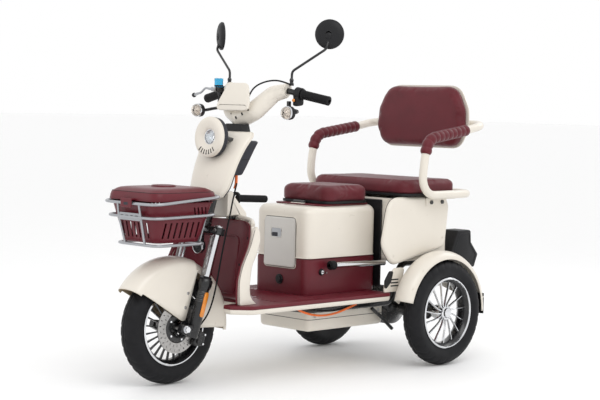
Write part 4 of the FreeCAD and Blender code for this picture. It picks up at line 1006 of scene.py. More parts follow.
def dash_look():
    """Rounded trapezoid instrument cover."""
    middle = Vector((0, 284, 977))
    tilt = math.radians(-17.9)
    up_dir = Vector((0, math.sin(-tilt), math.cos(tilt)))
    out = Vector((0, -math.cos(tilt), math.sin(-tilt))).normalized()
    shape = corner_ring([(-97, 0, 26), (97, 0, 26), (53, 106, 34), (-53, 106, 34)], steps=10)

    def place(u, v, w):
        return middle + Vector((u, 0, 0)) + up_dir * v + out * w
    rings = []
    for inset, depth in ((3, -4), (0, -2.5), (0, 1.5), (1.2, 3.2), (5, 4.0), (20, 4.3)):
        rings.append([place(u, v, depth) for u, v in shrink_ring(shape, inset)])
    add("dash_look", loft(rings), cream_gloss, "steering", node="dash_cover")


def cover_slots_look():
    """Dark drain slots and a screw hole in the front of the handlebar cover."""
    along = Vector((60, 14, 33)).normalized()
    out = (Vector((0, -1, 0)) + along * along.y).normalized()
    across = along.cross(out)
    shapes = []
    for x in (-26, 4, 30):
        spot = Vector((x, 330 + 14 * abs(x) / 60, 945 + 33 * abs(x) / 60)) + out * 34.6
        shapes.append(rod(spot - across * 5, spot + across * 5, 3.2, 14))
    hole = Vector((56, 343, 976)) + out * 34.4
    shapes.append(rod(hole, hole + out * 1.8, 3.4, 20))
    add("cover_slots", shapes, dark_gap, "steering")


def grips_look():
    """Ribbed rubber grips; the right one is the throttle."""
    for side, tag in SIDES:
        body = "steering" if side > 0 else "throttle"
        node = "left_grip" if side > 0 else "throttle_grip"
        profile = [(11.2, 219), (19.5, 219), (20, 222), (16.2, 226)]
        at_x = 228
        while at_x < 322:
            profile += [(16.8, at_x), (16.8, at_x + 2.6), (15.9, at_x + 3.4), (15.9, at_x + 4.6)]
            at_x += 5.4
        profile += [(17.2, 324), (17.2, 328), (13, 330), (0, 330)]
        start = on_bar(0, side)
        scale = 1 / BAR_DIRECTION.x
        profile = [(r, a * scale) for r, a in profile]
        add(f'grip_{tag}', lathe(profile, start, bar_axis(side), 56), black_rubber, body,
            node=node)


def switches_look():
    """Switch pods with their clamp rings, buttons and the horn button."""
    for side, tag in SIDES:
        low = on_bar(193, side)
        ring = [(11.2, 0), (22.5, 0), (23, 2), (23, 22), (22.5, 24), (11.2, 24)]
        add(f'switch_ring_{tag}', lathe(ring, low, bar_axis(side), 48), black_plastic, "steering",
            node=left_only(side, "switch_clusters"))
        pod = []
        for x, inset in ((193, 4), (195, 1), (197, 0), (211, 0), (214, 1), (216, 4)):
            outline = shrink_ring(corner_ring([(404, 997, 9), (442, 1000, 12), (442, 1034, 12),
                (406, 1036, 9)]), inset)
            pod.append([(side * x, y, z) for y, z in outline])
        add(f'switch_pod_{tag}', loft(pod), black_plastic, "steering")
        rocker = block((side * 204 - 7, 416, 1034), (side * 204 + 7, 434, 1038.5))
        slide = block((side * 204 - 4, 403, 1012), (side * 204 + 4, 400, 1020))
        add(f'switch_buttons_{tag}', [rocker, slide], dark_plastic, "steering", bevel=1.5)
        seam = [(side * 204.5, y, z)
            for y, z in corner_ring([(403.8, 996.8, 9), (442.2, 999.8, 12), (442.2, 1034.2, 12),
            (405.8, 1036.2, 9)])]
        tube(f'switch_seam_{tag}', seam + seam[:1], 0.8, dark_gap, "steering", sides=6)
    add("horn_button_look", lathe([(0, 0), (5.9, 0), (5.9, 3), (4.8, 4.4), (2, 4.9), (0, 5)],
        (204, 400.8, 1018.5), (0, -1, 0), 28), amber, "horn_button", node="horn_button")


def master_cylinder_look():
    """Brake perch on the right with its reservoir and the hand lever."""
    middle = on_bar(181, -1)
    ring = [(11.2, -9), (17.5, -9), (18, -7), (18, 7), (17.5, 9), (11.2, 9)]
    add("brake_perch_ring", lathe(ring, middle, bar_axis(-1), 44), black_paint, "steering",
        node="master_cylinder")
    x, y, z = middle
    shape = corner_ring([(x - 9.8, y - 57, 6), (x + 9.8, y - 57, 6), (x + 9.8, y - 12, 3),
        (x - 9.8, y - 12, 3)])
    rings = [[(u, v, z + height) for u, v in shrink_ring(shape, inset)]
        for height, inset in ((-4, 2), (-2, 0), (13, 0), (15.5, 2))]
    add("brake_perch_block", loft(rings), black_paint, "steering")
    centre = Vector((x - 2, y - 40, z + 12))
    pot = [(0, 2), (15.4, 2), (16.4, 4), (16.4, 26), (16.9, 27), (16.9, 34), (15.8, 35.8),
        (6, 35.6), (0, 35.6)]
    add("reservoir_look", lathe(pot, centre, (0, 0, 1), 48), blue_fluid, "steering")
    band = [(16.5, 6), (17, 6.6), (17, 10), (16.5, 10.6)]
    add("reservoir_band", lathe(band, centre, (0, 0, 1), 48), black_plastic, "steering")
    screws = [lathe([(0, 35.4), (2.6, 35.4), (2.6, 36.6), (0, 36.6)],
        centre + Vector((9 * s, 0, 0)), (0, 0, 1), 14) for s in (-1, 1)]
    add("reservoir_screws", screws, steel, "steering")
    pivot = Vector((x, y - 68.5, z + 7))
    boss = [(0, -8), (8.4, -8), (9, -7), (9, 7), (8.4, 8), (0, 8)]
    blade = smooth_route([pivot, pivot + Vector((-22, -2, 1)), pivot + Vector((-44, -2, 2)),
        (-250, 352, 1040), (-280, 359, 1035), (-298, 364.4, 1031.2)], 6)

    def blade_radius(share):
        return 5.4 - 1.4 * math.sin(math.pi * min(share * 1.1, 1))
    add("brake_blade", [lathe(boss, pivot, (0, 0, 1), 36), sweep(blade, blade_radius, 16)],
        silver_paint, "brake_lever", node="brake_lever")
    ball = [(9 * math.sin(math.pi * k / 16), -9 * math.cos(math.pi * k / 16)) for k in range(17)]
    add("brake_ball", lathe(ball, (-305, 366, 1030), (0, 0, 1), 36), black_plastic, "brake_lever")


def signals_look():
    """Turn signals: clear domed front, silver rim and a black can on a stalk."""
    for side, tag in SIDES:
        face = Vector((side * 244, 352, 973))
        can = [(0, 0), (20, 0), (23.6, 3), (24.8, 10), (24.8, 22), (0, 22)]
        add(f'signal_can_{tag}', lathe(can, face, (0, -1, 0), 56), black_plastic, "steering",
            node=left_only(side, "turn_signals"))
        rim_shape = [(24.9, 20), (25, 22), (25, 25), (24.6, 26.4), (22.6, 26.4), (22.6, 20)]
        add(f'signal_rim_{tag}', lathe(rim_shape, face, (0, -1, 0), 56), chrome, "steering")
        dome = [(22.5, 24), (22, 30), (19.5, 36), (14, 40), (7, 41.6), (0, 42)]
        add(f'signal_lens_{tag}', lathe(dome, face, (0, -1, 0), 56), amber_clear, "steering")
        bulb = [(0, 22.4), (21, 22.4), (12, 23.4), (8, 28), (6, 33), (0, 35)]
        add(f'signal_bulb_{tag}', lathe(bulb, face, (0, -1, 0), 32), chrome, "steering")
        stalk = smooth_route([(side * 244, 352, 973), (side * 242, 376, 975),
            (side * 232, 392, 979), (side * 206, 397, 983), (side * 182, 400, 986)], 6)
        tube(f'signal_stalk_{tag}', stalk, 5.8, black_paint, "steering", sides=16)
        add(f'signal_bracket_{tag}', block((side * 180 - 5.5, 393, 983), (side * 180 + 5.5, 407,
            1015)), black_paint, "steering", bevel=2)


def mirrors_look():
    """Round mirrors on bent stems, each with its foot, shell, glass and hub."""
    for side, tag in SIDES:
        body = f'mirror_{tag}'
        route = bent_route([(side * 168, 423, 1074), (side * 168, 424, 1123),
            (side * 296, 470, 1206), (side * 294, 486, 1250)], 22)
        foot = lathe([(0, 0), (9, 0), (9, 9), (7, 10), (7, 16), (8.2, 17), (8.2, 22), (5.5, 27.5),
            (0, 27.5)], (side * 168, 423, 1071), (0, 0, 1), 6)
        add(f'mirror_foot_{tag}', foot, black_paint, body, node=body, bevel=0.6)
        tube(f'mirror_stem_{tag}', route, 4.6, black_paint, body, sides=20)
        back = Vector((side * 0.5, -0.866, 0))
        centre = Vector((side * 292, 488, 1259))
        radius = 54
        shell = [(radius - 2.6, -5.5), (radius - 0.6, -5.6), (radius, -3.6), (radius, 1.5),
            (51, 5), (45, 9), (36, 12), (22, 13.6), (0, 14)]
        add(f'mirror_shell_{tag}', lathe(shell, centre, back, 72), black_plastic, body)
        glass = [(0, -4.4), (radius - 2.6, -4.6), (radius - 2.6, -3), (0, -3)]
        add(f'mirror_glass_{tag}', lathe(glass, centre, back, 72), mirror_glass, body)
        hub = [(0, 10), (13, 12), (12, 15), (8, 17.5), (0, 18)]
        add(f'mirror_hub_{tag}', lathe(hub, centre - Vector((0, 0, 6)), back, 32), black_plastic,
            body)


handlebar_look()
dash_look()
cover_slots_look()
grips_look()
switches_look()
master_cylinder_look()
signals_look()
mirrors_look()


# ---------------------------------------------------------------- basket
def rect_ring(z, half_width, front_y, rear_y, radius, steps=9):
    """Level ring of a rounded rectangle about the middle plane."""
    return [(x, y, z) for x, y in box_ring(-half_width, front_y, half_width, rear_y, radius,
        steps)]


def closed_tube(ring, radius, sides=14):
    """Endless wire along a closed ring of points."""
    pts = [Vector(p) for p in ring]
    count = len(pts)
    verts = []
    for i, p in enumerate(pts):
        ahead = (pts[(i + 1) % count] - pts[i - 1]).normalized()
        u = Vector((0, 0, 1)) - ahead * ahead.z
        u.normalize()
        v = ahead.cross(u)
        for k in range(sides):
            turn = TAU * k / sides
            verts.append(p + u * radius * math.cos(turn) + v * radius * math.sin(turn))
    return (verts, grid(count, sides, True))


def tub_ring(z, grow=0.0, steps=9):
    """Outline of the basket tub at a height; its walls lean outward."""
    share = (z - 514) / 140
    return rect_ring(z, 98 + 34 * share + grow, -144 - 32 * share - grow, 62 + 38 * share + grow,
        34 + 12 * share + grow, steps)


def basket_look():
    """Three painted rings with posts round a slotted plastic tub."""
    wire = 5.4
    top = [(x, y, 652 + 22 * (y + 192) / 312) for x, y, z in rect_ring(0, 151, -192, 120, 55, 10)]
    middle = [(x, y, 604 + 6 * (y + 183) / 291) for x, y, z in rect_ring(0, 139, -183, 108, 50,
        10)]
    bottom = [(x, y, 507) for x, y, z in rect_ring(0, 112, -158, 76, 45, 10)]
    shapes = [closed_tube(ring, wire) for ring in (top, middle, bottom)]
    for s in (-1, 1):
        shapes.append(sweep(smooth_route([(s * 58, -191.5, 652), (s * 60, -183.5, 604),
            (s * 57, -171, 555), (s * 54, -158.5, 506)], 5), 4.4, 12))
        shapes.append(sweep(smooth_route([(s * 72, 119.5, 674), (s * 72, 107.5, 610),
            (s * 70, 76.5, 508)], 5), 4.4, 12))
        shapes.append(sweep(smooth_route([(s * 71, 92, 560), (s * 66, 108, 552),
            (s * 60, 122, 548)], 5), 4.4, 12))
    add("basket_wires", shapes, silver_paint, "steering", node="basket_frame")
    plate = box_ring(-60, 592, 60, 618, 5)
    front_plate = add("basket_front_plate",
        loft([[(x, -186.5, z) for x, z in plate], [(x, -183.2, z) for x, z in plate]]),
        silver_paint, "steering")
    slots = []
    for k in range(4):
        x = -39 + 26 * k
        ring = box_ring(x - 9, 600, x + 9, 610, 4.5)
        slots.append(loft([[(u, -190, w) for u, w in ring], [(u, -180, w) for u, w in ring]]))
    carve(front_plate, join_shapes(*slots))
    outer = [tub_ring(z, grow) for z, grow in ((514.3, -7), (514.3, -2), (517, -0.4), (560, 0),
        (600, 0), (640, 0), (652.6, 0), (654, -1))]
    inner = [tub_ring(z, -3) for z in (654, 640, 600, 560, 521)] + [tub_ring(517.5, -9)]
    tub = add("basket_tub_look", loft(outer + inner), maroon_plastic, "steering",
        node="basket_tub")
    cuts = []
    for k in range(7):
        y = -120 + 25 * k
        ring = corner_ring([(y - 4, 530, 4), (y + 4, 530, 4), (y + 9, 586, 4), (y + 1, 586, 4)])
        cuts.append(loft(stack(ring, (-150, 150), "x")))
        x = -70 + 22 * k
        ring = box_ring(x - 4, 530, x + 4, 586, 4)
        cuts.append(loft(stack(ring, (-190, -130), "y")))
    for k in range(4):
        y = 14 + 17 * k
        ring = corner_ring([(y - 4, 606, 3.5), (y + 3, 606, 3.5), (y - 9, 638, 3.5),
            (y - 16, 638, 3.5)])
        cuts.append(loft(stack(ring, (-150, 150), "x")))
    carve(tub, join_shapes(*cuts))
    bands = [closed_tube(tub_ring(653.4, 1.2, 10), 2.6, 10), closed_tube(tub_ring(597, 0.6, 10),
        1.6, 8)]
    add("basket_ribs", bands, maroon_plastic, "steering")
    strap = [rect_ring(z, 22, 84, 108, 6, 4) for z in (556, 561)]
    add("basket_bracket", loft(strap), silver_paint, "steering", bevel=1)


def lid_look():
    """Domed basket lid inside the top ring, with a shallow boss, a latch and a hinge."""
    levels = [(661.2, 138, -180, 107, 46), (661.2, 141.6, -183.6, 110.6, 50),
        (663, 142, -184, 111, 50), (676, 140, -182, 109, 49), (686, 137.4, -179.4, 106.4, 48),
        (690, 135.4, -177.4, 104.4, 47), (692.6, 131, -173, 100, 46), (698, 123.6, -165.6, 93,
        43), (703, 112.6, -154.6, 82.6, 40), (705.4, 96, -138, 70, 38), (706, 60, -100, 40, 36),
        (706, 20, -60, 0, 16)]
    add("lid_look", loft([rect_ring(*level) for level in levels]), maroon_plastic, "basket_lid",
        node="basket_lid")
    boss = []
    for z, reach in ((704, 43.6), (709, 43.2), (711.4, 41.4), (712, 38), (711.2, 33), (710.4, 30),
            (710.4, 10)):
        boss.append([(reach * math.cos(TAU * k / 56), -34 + reach * math.sin(TAU * k / 56), z)
            for k in range(56)])
    add("lid_boss", loft(boss), maroon_plastic, "basket_lid")
    crease = [(x, y, 690.6) for x, y, z in rect_ring(0, 134.6, -176.6, 103.6, 47, 10)]
    add("lid_crease", closed_tube(crease, 1.1, 6), dark_gap, "basket_lid")
    outline = corner_ring([(-29.5, 637.5, 7), (29.5, 637.5, 7), (29.5, 669, 4), (-29.5, 669, 4)])
    latch = stack(outline, ((-199.2, 0), (-201.6, 0), (-202.9, 1.6)), "y")
    tongue = block((-28, -201, 664.2), (28, -180, 668.6))
    add("lid_latch", [loft(latch), tongue], maroon_plastic, "basket_lid", bevel=0.8)
    add("lid_latch_button", loft(stack(box_ring(-12, 646, 12, 656, 4), (-203, -201), "y")),
        dark_plastic, "basket_lid")
    hinge = [rod((-59.6, 122, 685), (59.6, 122, 685), 4.9, 24), block((-59, 104.5, 682.3),
        (59, 120, 687.7))]
    add("lid_hinge", hinge, maroon_plastic, "basket_lid", bevel=0.6)


basket_look()
lid_look()

# ---------------------------------------------------------------- leg shields
SHIELD_POWER = 2.6


def shield_line(z, wing_x, wing_y, middle_y, inset=0.0, grow=0.0, count=41):
    """Front skin of the leg shield at one level: swept wings and a bowed middle."""
    line = []
    for i in range(count):
        share = -1 + 2 * i / (count - 1)
        x = share * (wing_x + grow)
        swell = 1 - abs(share) ** SHIELD_POWER
        y = wing_y + (middle_y - wing_y) * swell + inset
        line.append((x, y, z))
    return line


LEVELS = [(290.8, 196, 144, 262), (300, 196.5, 143.4, 262.4), (331, 198, 142, 264),
    (379, 199, 143, 266), (434, 199, 160, 269), (462, 199, 175, 271.4), (490, 198.6, 190, 274),
    (512, 197, 199, 277), (534, 193, 206.5, 281), (553, 186, 214, 285), (566, 176, 222, 287.6),
    (574, 162, 229, 289.2), (578, 140, 239, 290.6)]
CHEEK_FRONT = [(290.5, 156), (331, 153.5), (379, 154.5), (434, 171), (490, 200), (527, 214),
    (552, 222), (566, 231)]
CHEEK_REAR = [(290.5, 236), (303, 220), (323, 207), (366, 205), (427, 214), (468, 235),
    (515, 250.5), (549, 248), (566, 236)]


def curve_at(edge, z):
    """Smoothly interpolated value of a (z, value) curve at a height."""
    for i in range(len(edge) - 1):
        low, high = (edge[i], edge[i + 1])
        if z <= high[0] or i == len(edge) - 2:
            share = min(max((z - low[0]) / (high[0] - low[0]), 0), 1)
            before = edge[max(i - 1, 0)][1]
            after = edge[min(i + 2, len(edge) - 1)][1]
            m0, m1 = ((high[1] - before) / 2, (after - low[1]) / 2)
            s2, s3 = (share ** 2, share ** 3)
            return (2 * s3 - 3 * s2 + 1) * low[1] + (s3 - 2 * s2 + share) * m0 + (3 * s2
                - 2 * s3) * high[1] + (s3 - s2) * m1
    return edge[-1][1]


def leg_shield_look():
    """Maroon front skin, the rider's cream panel, rounded side cheeks and screws."""
    rings = [shield_line(*level) for level in LEVELS]
    add("leg_shield_look", loft(rings, closed=False, cap=False), maroon_plastic,
        node="leg_shield_front", thickness=3.4)
    rings = [shield_line(z, w - 3, y + 13, m + 13) for z, w, y, m in LEVELS]
    add("rider_panel_look", loft(rings, closed=False, cap=False), cream_gloss,
        node="leg_shield_rear", thickness=9)
    for side, tag in SIDES:
        levels = []
        for k in range(47):
            z = 290.5 + 275.5 * k / 46
            front, rear = (curve_at(edge, z) for edge in (CHEEK_FRONT, CHEEK_REAR))
            roll = min(6, (rear - front) * 0.4)
            levels.append([(side * x, y, z) for x, y in ((188, front), (199, front),
                (203.4, front + roll * 0.3), (206, front + roll), (206, rear - roll),
                (203.4, rear - roll * 0.3), (199, rear), (188, rear))])
        add("cheek_" + tag, loft(levels), cream_gloss)
        groove = [(side * 202.6, curve_at(CHEEK_FRONT, 291 + 11 * k) - 0.8, 291 + 11 * k)
            for k in range(25)]
        tube("shield_groove_" + tag, groove, 0.6, dark_gap, "chassis", sides=6)
        shoulder = [(side * 178, 236, 571), (side * 150, 256, 582), (side * 110, 274, 586),
            (side * 70, 288, 588), (side * 38, 296, 590)]
        tube("shoulder_roll_" + tag, smooth_route(shoulder, 5), 7.5, cream_gloss, "chassis",
            sides=14)
    recess = [(-62, 312, 22), (62, 312, 22), (74, 520, 30), (-74, 520, 30)]
    ring = corner_ring(recess, 8)

    def skin_y(x, z, inset=0.0):
        for low, high in zip(LEVELS, LEVELS[1:]):
            if low[0] <= z <= high[0]:
                t = (z - low[0]) / (high[0] - low[0])
                w, y, m = (a + (b - a) * t for a, b in zip(low[1:], high[1:]))
                swell = 1 - min(abs(x) / w, 1) ** SHIELD_POWER
                return y + (m - y) * swell + inset
        return LEVELS[0][3]
    outline = [(x, skin_y(x, z, -3), z) for x, z in ring]
    add("shield_recess_bead", closed_tube(outline, 2.6, 10), maroon_plastic)
    screws = []
    for x, z in ((-140, 330), (140, 330), (-150, 520), (150, 520), (-96, 420), (96, 420)):
        y = skin_y(x, z, -1.2)
        screws.append(lathe([(0, 0), (5, 0), (5, 1.6), (2.4, 2.2), (0, 1.2)], (x, y, z),
            (0, -1, 0), 20))
    add("shield_screws", screws, dark_gap)


def tower_look():
    """Sloped cream tower behind the head tube, and the parking lever with its boot."""
    side = corner_ring([(236, 592, 3), (236, 684, 5), (262, 684, 10), (276, 660, 20),
        (300, 634, 20), (331, 604, 16), (337, 540, 5), (300, 540, 3), (300, 592, 3)], 6)
    rings = stack(side, ((-40, 4), (-39, 1.4), (-36.6, 0), (36.6, 0), (39, 1.4), (40, 4)), "x")
    add("tower_look", loft(rings), cream_gloss)
    collar = [(21, -11), (24, -9), (24, 0), (21, 2), (14, 2), (14, -11)]
    add("parking_boot", lathe(collar, (0, 317, 654), (0, 0.998, -0.03), 36), black_rubber,
        "parking_lever")
    direction = Vector((0, 145, -6.6)).normalized()
    start = Vector((0, 319, 653.8))
    grip = [(0, 0), (12, 0), (13, 2)]
    at_y = 6
    while at_y < 136:
        grip += [(13.6, at_y), (13.6, at_y + 3.2), (12.6, at_y + 4.2), (12.6, at_y + 5.4)]
        at_y += 6.6
    grip += [(13.6, 139), (13.2, 144), (10, 147), (0, 147.4)]
    add("parking_lever_look", lathe(grip, start, direction, 44), black_rubber, "parking_lever",
        node="parking_lever")


# ---------------------------------------------------------------- floor
def deck_outline():
    """Plan of the deck with the wheel arch cut into its front edge."""
    left = [(193, 120.5, 12), (249.5, 177, 30), (249.5, 904.5, 16)]
    arch = [(-152, 120.5, 10), (-142, 200, 30), (-70, 268, 40), (70, 268, 40), (142, 200, 30),
        (152, 120.5, 10)]
    return corner_ring(left + [(-x, y, r) for x, y, r in reversed(left)] + arch, 8)


def floor_look():
    """Ribbed deck, its skirt and the belly box under it."""
    outline = deck_outline()
    rings = stack(outline, ((276.3, 0.6), (284, 0), (287.4, 0.8), (289.3, 3.2), (289.8, 6.5)))
    add("deck_look", loft(rings), maroon_plastic, node="floor_deck")
    ribs = []
    for k in range(-9, 10):
        x = 22 * k
        start = 386 if abs(x) < 60 else 350 if abs(x) < 120 else 330
        ribs.append(sweep([(x, start, 288.7), (x, 536, 288.7)], 3.0, 8))
    for side in (1, -1):
        for k in range(4):
            x = side * (160 + 20 * k)
            ribs.append(sweep([(x, 560, 288.8), (x, 890, 288.8)], 2.1, 8))
    add("deck_ribs", ribs, maroon_plastic)
    skirt = stack(outline, ((257.8, 9), (259.5, 5), (264, 2.2), (270, 1), (275.4, 0.6)))
    add("skirt_look", loft(skirt), cream_gloss, node="floor_skirt")
    low, high = (Vector((-136.5, 566, 151)), Vector((136.5, 984, 221.5)))
    levels = []
    for z, inset in ((151, 14), (153, 8), (158, 3), (166, 0.8), (178, 0), (221.5, 0)):
        levels.append([(x, y, z)
            for x, y in shrink_ring(corner_ring([(low.x, low.y, 26), (high.x, low.y, 26),
            (high.x, high.y, 22), (low.x, high.y, 22)], 7), inset)])
    add("belly_look", loft(levels), cream_gloss, node="belly_box")
    seam = [(x, y, 196) for x, y in corner_ring([(low.x - 0.3, low.y - 0.3, 26),
        (high.x + 0.3, low.y - 0.3, 26), (high.x + 0.3, high.y + 0.3, 22),
        (low.x - 0.3, high.y + 0.3, 22)], 7)]
    add("belly_seam", closed_tube(seam, 1.0, 6), dark_gap)
    bolts = [lathe([(0, 0), (7, 0), (7, 3), (3, 4), (0, 4)], (137, y, 209), (1, 0, 0), 6)
        for y in (600, 950)]
    add("belly_bolts", bolts, steel)


leg_shield_look()
tower_look()
floor_look()

# ---------------------------------------------------------------- seat box
SIDE_BAR_X = 170


def seat_box_look():
    """Base and shell of the front seat, battery door, charge port, lock, key and bars."""
    levels = [rect_ring(z, 140 - inset, 545 + inset, 930 - inset, 32, 8)
        for z, inset in ((290.4, 0.4), (296, 0), (418, 0), (424, 1.2), (426.6, 4))]
    add("seat_base_look", loft(levels), maroon_plastic, node="seat_box_base")
    levels = [rect_ring(427.3, 139.5, 547.6, 927.5, 41, 9), rect_ring(429, 142, 545, 930, 43, 9),
        rect_ring(434, 142.8, 544.2, 930.8, 44, 9), rect_ring(592, 142.8, 544.2, 930.8, 44, 9)]
    for k in range(1, 8):
        turn = math.pi / 2 * k / 7
        inset = 29 * (1 - math.cos(turn))
        levels.append(rect_ring(592 + 29.8 * math.sin(turn), 142.8 - inset, 544.2 + inset,
            930.8 - inset, 44 - inset * 0.8, 9))
    add("seat_shell_look", loft(levels), cream_gloss, node="seat_box_shell")
    lip = rect_ring(429.5, 143.6, 543.6, 931.4, 44, 9)
    add("seat_shell_lip", closed_tube(lip, 2.2, 10), cream_gloss)
    plate = [rect_ring(z, 128 - inset, 622 + inset, 906 - inset, 40, 8)
        for z, inset in ((622.6, 1), (623.6, 0), (626.4, 0), (627.4, 1.4))]
    add("saddle_plate_look", loft(plate), maroon_plastic, node="saddle_plate")
    bracket = [block((-34, 628, 622.8), (34, 640, 629.4)), block((-34, 626, 600), (34, 629, 629))]
    add("saddle_bracket", bracket, cream_paint, bevel=1.5)
    hinge = rod((-29.6, 643, 634), (29.6, 643, 634), 4.9, 24)
    add("saddle_hinge_pin", hinge, black_paint, "saddle")
    bolts = [lathe([(0, 0), (5, 0), (5, 3), (3.6, 4), (0, 4)], (x, 634, 629.4), (0, 0, 1), 6)
        for x in (-24, 24)]
    add("saddle_bolts", bolts, black_paint)
    outline = corner_ring([(-83, 390, 14), (83, 390, 14), (83, 577, 16), (-83, 577, 16)], 7)
    rings = stack(outline, ((543.3, 1), (542.5, 0), (540.6, 0.2), (539.7, 1.8), (539.5, 6)), "y")
    add("battery_door_look", loft(rings), door_grey, "battery_door", node="battery_door")
    frame_ring = [(x, 544.2, z) for x, z in shrink_ring(outline, -3.2)]
    add("door_frame", closed_tube(frame_ring, 1.6, 8), cream_gloss)
    gap = [(x, 543.6, z) for x, z in shrink_ring(outline, -0.9)]
    add("door_gap", closed_tube(gap, 0.8, 6), dark_gap)
    pull = box_ring(-44, 500, 10, 536, 7, 5)
    add("door_pull_rim", closed_tube([(x, 539.6, z) for x, z in pull], 1.8, 10), door_grey,
        "battery_door")
    add("door_pull_well", loft(stack(shrink_ring(pull, 1.6), (539.35, 540.4), "y")), silver_paint,
        "battery_door")
    add("door_pull_tab", loft(stack(box_ring(-40, 503, -10, 518, 3, 4), (538.4, 539.8), "y")),
        dark_plastic, "battery_door", bevel=0.5)
    port = Vector((0, 544.6, 342))
    add("charge_port_look", [lathe([(0, 0), (18.8, 0), (18.8, 3), (17.6, 4.2), (0, 4.2)], port,
        (0, -1, 0), 48), lathe([(0, 4), (13.4, 4), (13.4, 8.2), (12, 9.6), (0, 9.6)], port,
        (0, -1, 0), 6)], black_plastic, node="body_fittings")
    lock = Vector((140.2, 626, 375))
    add("lock_look", lathe([(0, 0), (12.8, 0), (12.8, 3), (11, 6), (9.6, 8), (0, 8)], lock,
        (1, 0, 0), 40), black_plastic)
    add("lock_face", lathe([(0, 8), (7, 8), (7, 8.25), (0, 8.25)], lock, (1, 0, 0), 32), chrome)
    add("key_look", [block((148.7, 625.2, 372.6), (158, 626.9, 377.4)),
        loft(stack(corner_ring([(157, 369.6, 3), (170.4, 371, 4), (170.4, 379, 4),
        (157, 380.4, 3)], 4), (624.7, 627.4), "y"))], steel, "key", node="key")
    add("battery_look", block((-94, 591, 296.5), (94, 889, 425)), black_plastic,
        node="battery_pack", bevel=6)
    for side, tag in SIDES:
        add("side_bar_" + tag, rod((side * SIDE_BAR_X, 650, 402), (side * 172, 940, 397), 11, 32),
            chrome, node=left_only(side, "side_bars"))
        cap = [(0, 0), (13, 0), (16.6, 2.5), (17, 6), (17, 24), (16, 27), (13.4, 29.6),
            (10, 29.8)]
        add("bar_cap_" + tag, lathe(cap, (side * SIDE_BAR_X, 640, 402), (0, 1, 0), 48),
            black_rubber)
        add("bar_stay_" + tag, rod((side * 143.6, 700, 401), (side * 169, 700, 401), 8, 24),
            chrome)


# ---------------------------------------------------------------- cushions
def swollen(piece, cap, pressure=4.0, voxel=0.006, frames=16):
    """Inflate a pad like a stuffed cover: remesh, cloth with pressure, capped travel."""
    scene = bpy.context.scene
    remesh = piece.modifiers.new("voxels", "REMESH")
    remesh.mode = "VOXEL"
    remesh.voxel_size = voxel
    deps = bpy.context.evaluated_depsgraph_get()
    fine = bpy.data.meshes.new_from_object(piece.evaluated_get(deps))
    piece.modifiers.clear()
    piece.data = fine
    rest = [v.co.copy() for v in fine.vertices]
    cloth = piece.modifiers.new("stuffing", "CLOTH")
    cloth.settings.use_pressure = True
    cloth.settings.uniform_pressure_force = pressure
    cloth.settings.effector_weights.gravity = 0
    cloth.settings.quality = 4
    cloth.collision_settings.use_collision = False
    cloth.point_cache.frame_start = 1
    cloth.point_cache.frame_end = frames
    for step in range(1, frames + 1):
        scene.frame_set(step)
    deps = bpy.context.evaluated_depsgraph_get()
    result = bpy.data.meshes.new_from_object(piece.evaluated_get(deps))
    for before, vertex in zip(rest, result.vertices):
        shift = vertex.co - before
        if shift.length > cap:
            vertex.co = before + shift.normalized() * cap
    piece.modifiers.clear()
    piece.data = result
    scene.frame_set(1)


def cushion(name, shape, node, body, surface, cap, limits):
    """Stuffed cover from a starting shape, kept inside limits (low and high corners)."""
    piece = add(name, shape, surface, body)
    swollen(piece, cap * MM)
    low, high = (at(limits[0]), at(limits[1]))
    for vertex in piece.data.vertices:
        for axis in range(3):
            vertex.co[axis] = min(max(vertex.co[axis], low[axis]), high[axis])
    piece.data.shade_smooth()
    if not piece.data.materials:
        piece.data.materials.append(surface)
    finer = piece.modifiers.new("finer", "SUBSURF")
    finer.levels = finer.render_levels = 1
    if node:
        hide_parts(node)
    return piece


def seat_cushions():
    """Saddle, bench and backrest pads with their base rims and shell."""
    plan = box_ring(-135, 657, 135, 900, 54, 9)

    def flat(u, v, w):
        return (u, v, 634 + w)
    cushion("saddle_pad", puffed(plan, flat, 58, 21, 5), "saddle_cushion", "saddle",
        maroon_leather, 8, ((-140, 652, 633.4), (140, 905, 698)))
    add("saddle_base_rim", loft(stack(plan, ((629.2, 2), (630, 0.4), (638, 0.4)))), black_plastic,
        "saddle")
    plan = corner_ring([(-266, 954, 62), (266, 954, 62), (266, 1260, 36), (-266, 1260, 36)], 9)

    def bench(u, v, w):
        return (u, v, 664 + w)
    cushion("bench_pad", puffed(plan, bench, 50, 19, 4), "bench_cushion", "bench", maroon_leather,
        8, ((-272, 948, 663.4), (272, 1266, 720)))
    add("bench_base_rim", loft(stack(plan, ((658.2, 2), (659, 0.4), (667, 0.4)))), black_plastic,
        "bench")
    shape = corner_ring([(-201, 4, 66), (201, 4, 66), (240, 86, 66), (234, 165, 106),
        (185, 258, 86), (-185, 258, 86), (-234, 165, 106), (-240, 86, 66)], 8)
    lean = math.radians(3)
    right = Vector((1, 0, 0))
    up = Vector((0, math.sin(lean), math.cos(lean)))
    ahead = Vector((0, -math.cos(lean), math.sin(lean)))
    root = Vector((0, 1345, 833))

    def upright(u, v, w):
        return root + right * u + up * v + ahead * w
    cushion("backrest_pad", puffed(shape, upright, 34, 17, 3.5), "backrest_cushion", "chassis",
        maroon_leather, 7, ((-243, 1290, 828), (243, 1361, 1105)))
    plate = [[upright(u, v, -w) for u, v in shrink_ring(shape, inset)]
        for w, inset in ((0.4, 0), (6, 1), (9.4, 5), (10.2, 14))]
    add("backrest_shell_look", loft(plate), cream_gloss, node="backrest_shell")
    clamps = [block((x - 14.5, 1357, 922), (x + 14.5, 1368, 950)) for x in (-90, 90)]
    add("backrest_clamps", clamps, black_paint, bevel=2)


seat_box_look()
seat_cushions()


